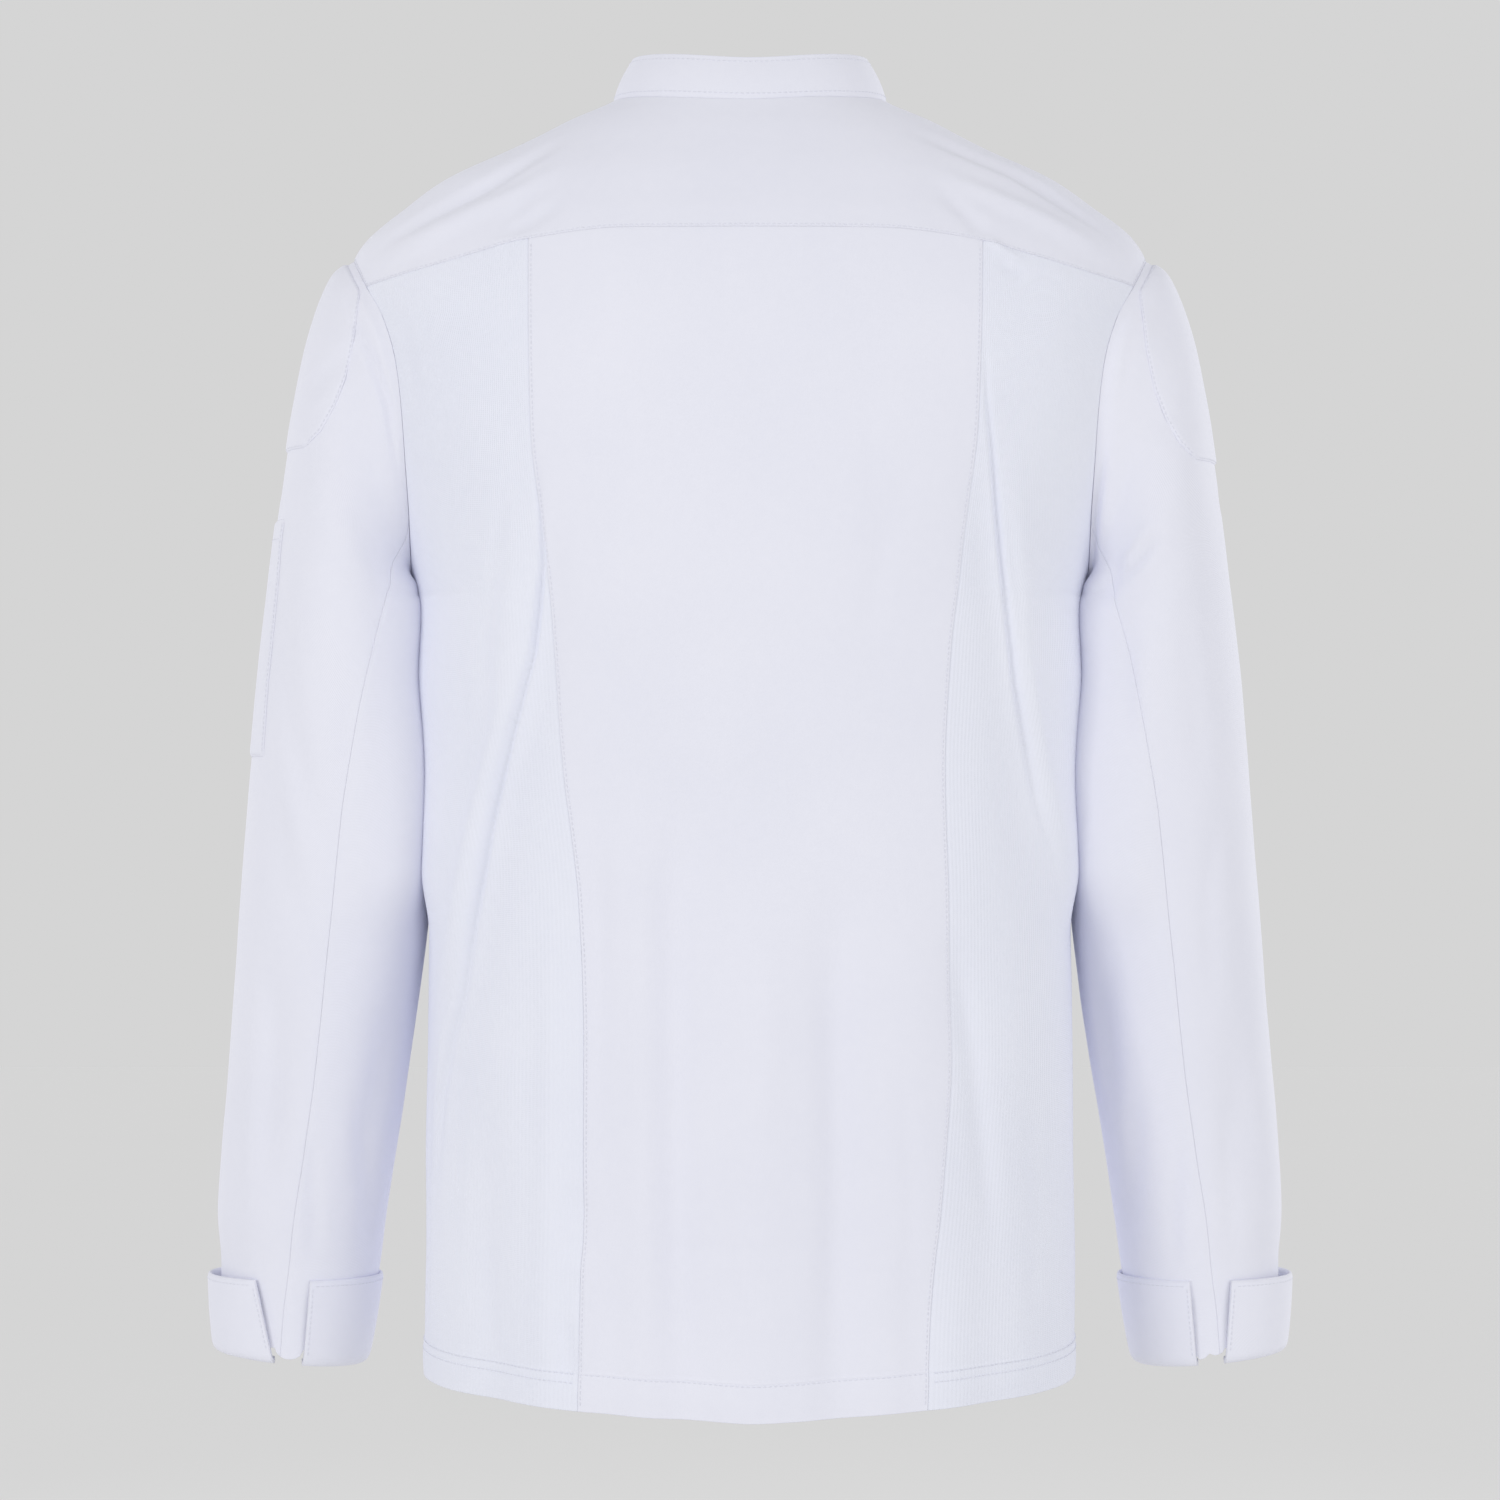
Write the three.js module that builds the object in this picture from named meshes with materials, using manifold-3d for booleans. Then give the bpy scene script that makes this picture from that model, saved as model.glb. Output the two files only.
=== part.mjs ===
// A long-sleeved chef jacket, filled out as it is worn, with no wearer. Millimetres, +Z up.
// +Y is the back, -Y the front and +X the wearer's left. The origin is the middle of the neck
// opening, at the height of the two side neck points. Every piece is a thin wall of cloth whose
// outer face follows one of three surfaces: the body, the sleeve or the standing collar.
import * as THREE from "three";
import { mergeVertices } from "three/addons/utils/BufferGeometryUtils.js";
import Module from "manifold-3d";

const wasm = await Module();
wasm.setup();

// Driving dimensions
const cloth = 1.5; // one layer of cloth
const doubled = 2.4; // collar and cuffs, two layers with interlining
const overlay = 1.1; // what is sewn flat on a panel
const seam = 0.3; // gap between two pieces at a seam
const hemDepth = 22;
const hemRise = 0.6; // the turned hem stands this much prouder than the panel
const underarmZ = -290;
const shoulderTipZ = -92.6;
const overlap = 48; // the left front passes the middle by this much
const underlap = 42; // the right front passes the middle under it
const layerRise = 2.2; // how far the upper front stands off the lower one
const neck = { half: 81, back: 62, front: 92, clear: 1.3 }; // the panels end clear of the collar
const collar = { rise: 26, lean: 11, endGap: 2.5, cornerRadius: 12 };
const stud = { radius: 6, height: 2.6, edgeInset: 13, firstZ: -104, pitch: 73, count: 8 };

// Small tools
const rad = THREE.MathUtils.degToRad;
const lerp = THREE.MathUtils.lerp;
const clamp = THREE.MathUtils.clamp;

function ease(t) {
  const c = clamp(t, 0, 1);
  return c * c * (3 - 2 * c);
}

// A table with named columns: one object for each row.
function table(columns, rows) {
  const names = columns.split(" ");
  return rows.map((row) => Object.fromEntries(row.map((value, i) => [names[i], value])));
}

// A smooth curve through (key, value) of the rows that never overshoots between them.
function curve(rows, key, value) {
  const x = rows.map((row) => row[key]);
  const y = rows.map((row) => row[value]);
  const last = x.length - 1;
  const rise = x.slice(1).map((_, i) => (y[i + 1] - y[i]) / (x[i + 1] - x[i]));
  const slope = x.map((_, i) => {
    if (i === 0) return rise[0];
    if (i === last) return rise[last - 1];
    const product = rise[i - 1] * rise[i];
    return product <= 0 ? 0 : (2 * product) / (rise[i - 1] + rise[i]);
  });
  return (at) => {
    const c = clamp(at, x[0], x[last]);
    let i = 0;
    while (i < last - 1 && c > x[i + 1]) i += 1;
    const h = x[i + 1] - x[i];
    const t = (c - x[i]) / h;
    const start = (1 + 2 * t) * (1 - t) ** 2 * y[i] + t * (1 - t) ** 2 * h * slope[i];
    const end = t * t * (3 - 2 * t) * y[i + 1] + t * t * (t - 1) * h * slope[i + 1];
    return start + end;
  };
}

// The value between low and high where a rising function passes a target.
function solve(f, low, high, target) {
  let a = low;
  let b = high;
  for (let i = 0; i < 40; i += 1) {
    const mid = (a + b) / 2;
    if (f(mid) < target) a = mid;
    else b = mid;
  }
  return (a + b) / 2;
}

const spaced = (from, to, steps) => Array.from({ length: steps + 1 }, (_, i) => lerp(from, to, i / steps));

// The body: level sections of a rounded oblong, from the hem to the side neck points. Above the
// underarm the sides are open armholes, so half is then the oblong's size and not a wall's place.
const bodySections = table("z half back front square", [
  [-770, 191, 134.5, 130, 2.3],
  [-650, 190.5, 131, 129, 2.3],
  [-560, 189.5, 128, 128, 2.3],
  [-480, 188, 123.5, 128, 2.3],
  [-440, 187.2, 121.5, 127.5, 2.3],
  [-400, 187.2, 120, 127, 2.3],
  [-340, 192.4, 121.5, 126.5, 2.3],
  [-290, 197, 124.5, 126, 2.3],
  [-275, 200.5, 125.2, 126, 2.3],
  [-250, 208, 125.8, 126, 2.3],
  [-210, 221, 125.5, 125, 2.3],
  [-180, 228, 123.5, 123, 2.3],
  [-155, 232, 120.5, 120, 2.27],
  [-130, 236, 116, 116, 2.22],
  [-112, 236.5, 111.5, 112, 2.15],
  [-92.6, 232.7, 106, 106, 2.05],
  [-82, 226.5, 102.5, 101.5, 2.02],
  [-73, 217, 99.5, 96.5, 2],
  [-64, 205, 95.5, 91, 2],
  [-47, 182, 87.5, 76, 2],
  [-29.5, 144.5, 77.5, 59.5, 2],
  [-20.6, 126, 72, 51.5, 2],
  [-11.8, 108, 65.5, 43, 2],
  [-3, 87, 59.5, 33, 2],
  [0, 81, 57, 29, 2],
  [6, 66, 50, 20, 2],
]);
const body = {};
for (const column of ["half", "back", "front", "square"]) body[column] = curve(bodySections, "z", column);

// Where the armhole lies: how far out at each height.
const armholeRows = table("z x", [
  [-290, 197],
  [-250, 196.5],
  [-210, 198],
  [-180, 200],
  [-155, 203.5],
  [-130, 211.5],
  [-112, 222],
  [-92.6, 232.7],
]);
const armholeX = curve(armholeRows, "z", "x");

// The seams between the middle back and the two ribbed side backs, left and right.
const backSeams = table("z left right", [
  [-770, 96.5, 99],
  [-680, 95.5, 103],
  [-620, 94, 109],
  [-550, 94, 114],
  [-465, 96.5, 112],
  [-390, 105.5, 110],
  [-325, 111, 113],
  [-275, 115, 119],
  [-195, 123.5, 128.5],
  [-80, 126, 132.5],
]);
const backSeamLeft = curve(backSeams, "z", "left");
const backSeamRight = curve(backSeams, "z", "right");

// The lower edge of the yoke on the back: its height at each distance from the middle.
const yokeRows = table("x z", [
  [0, -84.5],
  [70, -84.5],
  [130, -90],
  [150, -95],
  [185, -104],
  [222, -112],
]);
const yokeZ = curve(yokeRows, "x", "z");
const yokeCorner = yokeRows[yokeRows.length - 1];
const backSeamTopZ = -90;

// Folds. Each follows a path, a table of heights and places across, and is depth deep and width
// wide. A drape folds over: a trough on the inner side of its path and a ridge on the outer.
function fold(shape, depth, width, path) {
  const rows = table("z across", path);
  return {
    shape,
    depth,
    width,
    low: rows[0].z,
    high: rows[rows.length - 1].z,
    across: curve(rows, "z", "across"),
  };
}

const fadeLength = 70; // folds die out over this length at their ends
const hemFoldZ = -700; // but one that starts below this runs on into the hem
const drapePeak = 1.65; // makes a drape's ridge as high as its depth
function foldHeight(folds, across, z) {
  let height = 0;
  for (const f of folds) {
    const u = (across - f.across(z)) / f.width;
    const fadeLow = f.low < hemFoldZ ? 1 : ease((z - f.low) / fadeLength);
    const bell = f.depth * fadeLow * ease((f.high - z) / fadeLength) * Math.exp(-u * u);
    height += f.shape === "drape" ? bell * drapePeak * u : -bell;
  }
  return height;
}

const backFolds = [
  fold("drape", 3.4, 15, [[-620, 183], [-560, 174], [-490, 160.5], [-408, 144], [-324, 126], [-235, 121]]),
  fold("drape", -3.2, 15, [[-490, -184], [-447, -170], [-390, -158.5], [-318, -149], [-190, -134.5]]),
  fold("trough", 6.5, 19, [[-760, 33], [-560, 35], [-375, 36]]),
  fold("trough", 5.5, 22, [[-760, -56], [-600, -52], [-440, -48]]),
  fold("trough", 3.5, 15, [[-760, 80], [-560, 80], [-430, 84]]),
  fold("trough", 3, 14, [[-760, -92], [-640, -96]]),
  fold("trough", 4.5, 15, [[-760, 146], [-600, 152], [-560, 152]]),
  fold("trough", 2.5, 16, [[-760, -136], [-633, -133], [-454, -112]]),
];
const frontFolds = [
  fold("trough", 5, 20, [[-760, 92], [-560, 96], [-360, 110]]),
  fold("trough", 4.5, 20, [[-760, -104], [-600, -100], [-400, -112]]),
  fold("drape", 3, 16, [[-640, 160], [-480, 152], [-330, 142]]),
  fold("drape", -3, 16, [[-600, -162], [-460, -150], [-310, -140]]),
];

// A point of the body's outer face. Turn is 0 at the middle of the back, 90 at the wearer's left
// and 180 at the middle of the front.
const powered = (v, e) => Math.sign(v) * Math.abs(v) ** e;

function bodyBase(z, turn) {
  const s = Math.sin(rad(turn));
  const c = Math.cos(rad(turn));
  const e = 2 / body.square(z);
  const depth = c > 0 ? body.back(z) : body.front(z);
  return new THREE.Vector3(body.half(z) * powered(s, e), depth * powered(c, e), z);
}

// How far out of the body a point is: 1 on its face.
function bodyMeasure(x, y, z) {
  const n = body.square(z);
  const depth = y > 0 ? body.back(z) : body.front(z);
  return (Math.abs(x) / body.half(z)) ** n + (Math.abs(y) / depth) ** n;
}

function bodyNormal(p) {
  const h = 0.4;
  const slope = (dx, dy, dz) =>
    bodyMeasure(p.x + dx, p.y + dy, p.z + dz) - bodyMeasure(p.x - dx, p.y - dy, p.z - dz);
  return new THREE.Vector3(slope(h, 0, 0), slope(0, h, 0), slope(0, 0, h)).normalize();
}

// The turn of the point of a level section that is x out, on the back (face 1) or front (face -1).
function turnAtX(z, x, face) {
  const share = clamp(Math.abs(x) / body.half(z), 0, 1);
  const angle = THREE.MathUtils.radToDeg(Math.asin(share ** (body.square(z) / 2)));
  return Math.sign(x) * (face > 0 ? angle : 180 - angle);
}

// The same for a point that is y in front of or behind the ridge.
function turnAtY(z, y, side) {
  const depth = y > 0 ? body.back(z) : body.front(z);
  const share = clamp(Math.abs(y) / depth, 0, 1);
  const angle = THREE.MathUtils.radToDeg(Math.asin(share ** (body.square(z) / 2)));
  return side * (y > 0 ? 90 - angle : 90 + angle);
}

// Half the armhole's width at a height, before or behind the middle.
function armholeY(z, face) {
  const n = body.square(z);
  const share = clamp(armholeX(z) / body.half(z), 0, 1);
  return (face > 0 ? body.back(z) : body.front(z)) * (1 - share ** n) ** (1 / n);
}

// The upper body seen from above: its height over a point of the plan.
const roofLowZ = -118;
const roofHighZ = 5;
const roof = (x, y) => solve((z) => bodyMeasure(x, y, z), roofLowZ, roofHighZ, 1);

// The hem hangs lowest at the middle of the back.
const hemRows = table("turn z", [
  [0, -755],
  [45, -747.5],
  [90, -744],
  [180, -749],
]);
const hemZ = curve(hemRows, "turn", "z");
const hemLevel = -750; // the lowest row's level
const straightZ = -600; // above this the hem's curve doesn't reach

// The height of a point of a row that is level above straightZ and follows the hem below it.
function rowZ(level, turn) {
  if (level >= straightZ) return level;
  const bottom = hemZ(Math.abs(turn));
  return lerp(straightZ, bottom, (straightZ - level) / (straightZ - hemLevel));
}

// Lifts a point of the body's face by the folds, and by more where that is asked.
const smooth = { side: 14, topZ: -100, topFade: 60 }; // no folds near the side edges and on the yoke
function worn(p, more = 0) {
  const normal = bodyNormal(p);
  const inside = ease((body.half(p.z) - Math.abs(p.x)) / smooth.side);
  const below = ease((smooth.topZ - p.z) / smooth.topFade);
  const height = foldHeight(p.y > 0 ? backFolds : frontFolds, p.x, p.z) * inside * below;
  return { point: p.clone().addScaledVector(normal, height + more), normal };
}

// The turned hem, which stands proud of the panel above it.
const hemTop = hemLevel + hemDepth;
const hemEdge = 0.3; // the step is this far either side of the hem's upper edge
const hemStep = (level) => (level < hemTop ? hemRise : 0);

// Walls
// A closed wall from rows of {point, normal}: the outer face through the points, and the inner one
// a wall's thickness behind them.
function wall(rows, thickness) {
  const high = rows.length;
  const wide = rows[0].length;
  const positions = [];
  for (const depth of [0, thickness]) {
    for (const row of rows) {
      for (const { point, normal } of row) {
        positions.push(...point.clone().addScaledVector(normal, -depth).toArray());
      }
    }
  }
  const outer = (i, j) => i * wide + j;
  const inner = (i, j) => (high + i) * wide + j;
  const faces = [];
  const quad = (a, b, c, d) => faces.push(a, b, c, a, c, d);
  for (let i = 0; i < high - 1; i += 1) {
    for (let j = 0; j < wide - 1; j += 1) {
      quad(outer(i, j), outer(i, j + 1), outer(i + 1, j + 1), outer(i + 1, j));
      quad(inner(i, j), inner(i + 1, j), inner(i + 1, j + 1), inner(i, j + 1));
    }
    quad(outer(i, 0), outer(i + 1, 0), inner(i + 1, 0), inner(i, 0));
    quad(outer(i, wide - 1), inner(i, wide - 1), inner(i + 1, wide - 1), outer(i + 1, wide - 1));
  }
  for (let j = 0; j < wide - 1; j += 1) {
    quad(outer(0, j), inner(0, j), inner(0, j + 1), outer(0, j + 1));
    quad(outer(high - 1, j), outer(high - 1, j + 1), inner(high - 1, j + 1), inner(high - 1, j));
  }
  return solidFrom(positions, faces);
}

// A geometry whose faces point out, whichever way round they were listed.
function solidFrom(positions, faces) {
  const at = (i) => new THREE.Vector3().fromArray(positions, 3 * i);
  let volume = 0;
  for (let i = 0; i < faces.length; i += 3) {
    volume += at(faces[i]).dot(at(faces[i + 1]).cross(at(faces[i + 2])));
  }
  if (volume < 0) faces.reverse();
  const geometry = new THREE.BufferGeometry();
  geometry.setAttribute("position", new THREE.Float32BufferAttribute(positions, 3));
  geometry.setIndex(faces);
  geometry.computeVertexNormals();
  return geometry;
}

// Takes the ends of a line of points in by half a seam.
function trimmed(line, start = seam / 2, end = seam / 2) {
  const cut = (from, to, by) => {
    const step = to.point.clone().sub(from.point);
    const moved = from.point.clone().addScaledVector(step, Math.min(0.4, by / step.length()));
    return { point: moved, normal: from.normal };
  };
  const last = line.length - 1;
  const out = line.slice();
  out[0] = cut(line[0], line[1], start);
  out[last] = cut(line[last], line[last - 1], end);
  return out;
}

// Trims a grid's rows and then its first and last row.
function seamed(rows, low = seam / 2, high = seam / 2, start = seam / 2, end = seam / 2) {
  const across = rows.map((row) => trimmed(row, start, end));
  const columns = across[0].map((_, j) => trimmed(across.map((row) => row[j]), low, high));
  return across.map((_, i) => columns.map((column) => column[i]));
}

// Body panels: the levels of their rows
const hemLevels = [hemLevel, hemTop - hemEdge, hemTop + hemEdge];
const belowArm = [...hemLevels, -690, -650, -600, -550, -500, -450, -400, -350, -310, underarmZ];
const besideArm = [-286, -275, -255, -230, -205, -180, -155, -130];
const aboveArm = -112;

// The side seam moves a little in front of the side, and ends at the underarm.
const sideSeam = { forward: 7, over: 70 };
const sideTurn = (z) => 90 + sideSeam.forward * ease((underarmZ - z) / sideSeam.over);

// One row of a panel between two turns.
function bodyRow(level, fromTurn, toTurn, steps, more = () => 0) {
  return spaced(fromTurn, toTurn, steps).map((turn) => {
    const p = bodyBase(rowZ(level, turn), turn);
    return worn(p, hemStep(level) + more(p));
  });
}

// The points across the back that the yoke shares with the three panels under it.
const middleSteps = 13;
const sideSteps = 8;
function backSeamPoints() {
  const left = backSeamLeft(backSeamTopZ);
  const right = -backSeamRight(backSeamTopZ);
  return [
    ...spaced(yokeCorner.x, left, sideSteps),
    ...spaced(left, right, middleSteps).slice(1),
    ...spaced(right, -yokeCorner.x, sideSteps).slice(1),
  ];
}

// A row of points along the yoke's lower edge, between two distances from the middle.
function underYoke(from, to, steps) {
  return spaced(from, to, steps).map((x) => {
    const z = yokeZ(Math.abs(x));
    return worn(bodyBase(z, turnAtX(z, x, 1)));
  });
}

function middleBack() {
  const rows = [...belowArm, ...besideArm, aboveArm].map((z) =>
    bodyRow(z, turnAtX(z, -backSeamRight(z), 1), turnAtX(z, backSeamLeft(z), 1), middleSteps),
  );
  rows.push(underYoke(-backSeamRight(backSeamTopZ), backSeamLeft(backSeamTopZ), middleSteps));
  return wall(seamed(rows), cloth);
}

function sideBack(side) {
  const seamX = side > 0 ? backSeamLeft : backSeamRight;
  const outerTurn = (z) => (z <= underarmZ ? sideTurn(z) : turnAtY(z, armholeY(z, 1), 1));
  const rows = [...belowArm, ...besideArm].map((z) =>
    bodyRow(z, side * turnAtX(z, seamX(z), 1), side * outerTurn(z), sideSteps),
  );
  rows.push(underYoke(side * seamX(backSeamTopZ), side * yokeCorner.x, sideSteps));
  return wall(seamed(rows), cloth);
}

// The neckline is an oval in plan, and its height follows the upper body.
function necklinePlan(turn, out = 0) {
  const c = Math.cos(rad(turn));
  const s = Math.sin(rad(turn));
  const depth = (s > 0 ? neck.back : neck.front) + out;
  return new THREE.Vector2((neck.half + out) * c, depth * s);
}

// Where a level section of the front meets the neckline.
const neckFrontZ = solve((z) => -body.front(z), -90, 0, -neck.front - neck.clear);
const besideNeck = [aboveArm - 1, -88, -73, neckFrontZ, neckFrontZ + 1.5, neckFrontZ + 6];
function necklineTurn(z) {
  const inside = (turn) => {
    const p = bodyBase(z, turn);
    return -((p.x / (neck.half + neck.clear)) ** 2 + (p.y / (neck.front + neck.clear)) ** 2);
  };
  return solve(inside, 92, 180, -1);
}

// The seam in front of each shoulder: a straight line in plan, from the neckline to the armhole.
const shoulderSeam = { neckY: 29, armholeY: 22, steps: 7 };
const shoulderJoinZ = solve((z) => -armholeY(z, -1), aboveArm, shoulderTipZ, -shoulderSeam.armholeY);
const seamNeckTurn = -THREE.MathUtils.radToDeg(Math.asin(shoulderSeam.neckY / (neck.front + neck.clear)));
const seamNeckPlan = necklinePlan(seamNeckTurn, neck.clear);
const seamArmholePlan = new THREE.Vector2(armholeX(shoulderJoinZ), -armholeY(shoulderJoinZ, -1));
const shoulderLine = spaced(0, 1, shoulderSeam.steps).map((t) => {
  const { x, y } = seamNeckPlan.clone().lerp(seamArmholePlan, t);
  return { y, z: roof(x, y) };
});
const shoulderLineY = curve(shoulderLine.slice().reverse(), "z", "y");

// A front, from its side to its front edge. Reach is how far the edge passes the middle, and from
// there it slopes up to the neckline. Lift raises it by its distance past the middle.
const frontSteps = 13;
const edgeSlope = 20; // the height over which the front edge slopes
const cornerShare = 0.1; // an extra row this far down the shoulder seam, by the neckline
function front(side, reach, lift) {
  const outerTurn = (z) => {
    if (z <= underarmZ) return sideTurn(z);
    return turnAtY(z, z < shoulderJoinZ ? -armholeY(z, -1) : shoulderLineY(z), 1);
  };
  const innerTurn = (z) => {
    if (z > neckFrontZ) return necklineTurn(z);
    const passed = reach * ease((neckFrontZ - z) / edgeSlope);
    return passed < 1 ? 180 : 360 + turnAtX(z, -passed, -1);
  };
  const shoulderLevels = shoulderLine.map(({ z }) => z).slice(1);
  const cornerLevel = lerp(shoulderLine[0].z, shoulderLine[1].z, cornerShare);
  const levels = [...belowArm, ...besideArm, ...besideNeck, ...shoulderLevels, cornerLevel];
  levels.sort((a, b) => a - b);
  const rows = levels.map((z) =>
    bodyRow(z, side * outerTurn(z), side * innerTurn(z), frontSteps, (p) => lift(side * p.x)),
  );
  return wall(seamed(rows), cloth);
}

// The left front lies on the right one, so it rises over it.
const liftFrom = { x: 74, width: 28 };
const upperLift = (x) => layerRise * ease((liftFrom.x - x) / liftFrom.width);

// Yoke: spokes from the neckline to the shoulder seam's outer end, the armhole and the back seam.
const armholeMiddleZ = (shoulderTipZ + underarmZ) / 2;
const armholeReachZ = (shoulderTipZ - underarmZ) / 2;

// A point of the armhole. Turn is 0 at the shoulder tip, 90 at the back and 180 at the underarm.
function armholePoint(turn, side) {
  const z = armholeMiddleZ + armholeReachZ * Math.cos(rad(turn));
  const s = Math.sin(rad(turn));
  const face = s >= 0 ? 1 : -1;
  return new THREE.Vector3(side * armholeX(z), face * armholeY(z, face), z);
}

const armholeTurn = (z) => THREE.MathUtils.radToDeg(Math.acos((z - armholeMiddleZ) / armholeReachZ));

const mirrored = (plan) => new THREE.Vector2(-plan.x, plan.y);

function yoke() {
  const neckCornerTurn = 24; // where the spoke to the yoke's back corner leaves the neckline
  const armSteps = 6;
  const backCorner = armholeTurn(yokeCorner.z);
  const frontCorner = -armholeTurn(shoulderJoinZ);
  const spokes = [];
  const addSpoke = (neckTurn, x, y) => {
    spokes.push({ inner: necklinePlan(neckTurn, neck.clear), outer: new THREE.Vector2(x, y) });
  };
  const armhole = spaced(0, 1, armSteps).slice(0, -1);
  for (const t of armhole) {
    const p = armholePoint(lerp(frontCorner, backCorner, t), 1);
    addSpoke(lerp(seamNeckTurn, neckCornerTurn, t), p.x, p.y);
  }
  for (const x of backSeamPoints()) {
    const z = yokeZ(Math.abs(x));
    const p = bodyBase(z, turnAtX(z, x, 1));
    const share = (yokeCorner.x - x) / (2 * yokeCorner.x);
    addSpoke(lerp(neckCornerTurn, 180 - neckCornerTurn, share), p.x, p.y);
  }
  for (const { inner, outer } of spokes.slice(0, armhole.length).reverse()) {
    spokes.push({ inner: mirrored(inner), outer: mirrored(outer) });
  }
  const rows = shoulderLine.map((_, i) =>
    spokes.map(({ inner, outer }) => {
      const plan = inner.clone().lerp(outer, i / shoulderSeam.steps);
      return worn(new THREE.Vector3(plan.x, plan.y, roof(plan.x, plan.y)));
    }),
  );
  const frontTrim = 0.4;
  return wall(seamed(rows, 0, seam / 2, frontTrim, frontTrim), cloth);
}

// Standing collar: rows from its foot, inside the neckline, to its top edge, which leans in more
// and more. Its height falls by endDrop of itself at the two rounded ends.
const collarSteps = 40;
const collarShares = [0, 0.12, 0.35, 0.68, 0.93, 1];
const topRounding = 0.22; // the top edge is drawn in by this share of the thickness
const footInset = 0.2;
const endDrop = 0.3;
const evenLean = 0.35; // this share of the lean is spread evenly up the collar
function collarRow(t) {
  const endTurn = THREE.MathUtils.radToDeg(Math.asin(collar.endGap / neck.half));
  return spaced(-90 + endTurn, 270 - endTurn, collarSteps).map((turn) => {
    const foot = necklinePlan(turn, -footInset);
    const footZ = roof(foot.x, foot.y) - cloth;
    const fromEnd = Math.min(turn + 90, 270 - turn) * rad(1) * neck.half;
    const nearEnd = clamp(1 - fromEnd / collar.cornerRadius, 0, 1);
    const rise = (collar.rise + cloth) * (1 - endDrop * nearEnd ** 2);
    const leaning = collar.lean * lerp(t * t, t, evenLean);
    const lean = leaning + (t === 1 ? topRounding * doubled : 0);
    const out = foot.clone().normalize();
    const plan = foot.addScaledVector(out, -lean);
    return {
      point: new THREE.Vector3(plan.x, plan.y, footZ + rise * t),
      normal: new THREE.Vector3(out.x, out.y, 0),
    };
  });
}

const standCollar = () => wall(collarShares.map(collarRow), doubled);

// Sleeves: sections from the armhole to the cuff. Each is an oval across the line from its outer
// point to its inner one, with its own depths and its middle moved by y. The two seams are turns
// round the sleeve: 0 is the outer side, 90 the back and 180 the side towards the body.
const sleeveSections = table("row outX outZ inX inZ back front y backSeam frontSeam", [
  [0, 232.7, -92.6, 197.6, -290, 68, 66, 0, 126, 222],
  [1, 243, -100, 198, -292.5, 67, 65, 0, 131, 222],
  [2, 251.5, -116, 197.8, -297, 68, 65, 0, 132, 222],
  [3, 259, -138.5, 197.2, -303, 70, 66, 0, 131, 223],
  [4, 264.5, -163, 196.6, -310, 72, 68, 0, 130, 223],
  [5, 269, -188, 195.8, -318, 74, 70, 0, 127, 224],
  [6, 273.5, -220, 194.9, -329, 75, 71, -1, 123, 225],
  [7, 279, -257, 193.7, -343, 75, 71, -2, 118, 226],
  [8, 283.5, -290, 191.8, -361, 74, 71, -3, 112, 227],
  [9, 287.3, -322, 189.6, -382, 73, 70, -5, 106, 228],
  [10, 291.2, -360, 188.3, -408, 71, 69, -7, 101, 228],
  [11, 295.4, -402, 188.3, -438, 68, 67, -9, 97, 229],
  [12, 299.6, -450, 190, -476, 65, 64, -12, 95, 230],
  [13, 304.8, -512, 195.2, -520, 61, 60, -16, 94, 231],
  [14, 309.3, -565, 202.6, -568, 56, 55, -20, 94, 231],
  [15, 313.9, -612, 210, -612, 51, 50, -24, 93, 232],
  [16, 316.6, -654, 216.8, -656, 46, 45, -28, 90, 232],
  [17, 314.6, -684, 221.2, -687, 42, 41, -30, 87, 232],
  [18, 315, -708, 226, -711, 41, 40, -31, 86, 232],
  [19, 314.5, -729, 231, -733, 41, 40, -31, 86, 232],
]);
const sleeve = {};
for (const column of ["outX", "outZ", "inX", "inZ", "back", "front", "y", "backSeam", "frontSeam"]) {
  sleeve[column] = curve(sleeveSections, "row", column);
}

function ovalPoint(section, turn, side) {
  const c = Math.cos(rad(turn));
  const s = Math.sin(rad(turn));
  const depth = s > 0 ? section.back : section.front;
  const x = (section.outX + section.inX) / 2 + ((section.outX - section.inX) / 2) * c;
  const z = (section.outZ + section.inZ) / 2 + ((section.outZ - section.inZ) / 2) * c;
  return new THREE.Vector3(side * x, section.y + depth * s, z);
}

const armholeBlendRows = 4;
const sleeveOffset = 0.7; // the sleeve starts this far outside the armhole's edge
function sleeveBase(row, turn, side) {
  const section = {};
  for (const column of Object.keys(sleeve)) section[column] = sleeve[column](row);
  const toArmhole = armholePoint(turn, side).sub(ovalPoint(sleeveSections[0], turn, side));
  toArmhole.x += side * sleeveOffset;
  return ovalPoint(section, turn, side).addScaledVector(toArmhole, 1 - ease(row / armholeBlendRows));
}

function sleeveNormal(row, turn, side) {
  const h = 0.02;
  const r = clamp(row, h, 19 - h);
  const along = sleeveBase(r + h, turn, side).sub(sleeveBase(r - h, turn, side));
  const round = sleeveBase(row, turn + 0.5, side).sub(sleeveBase(row, turn - 0.5, side));
  const normal = along.cross(round).normalize();
  return side > 0 ? normal : normal.negate();
}

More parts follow.
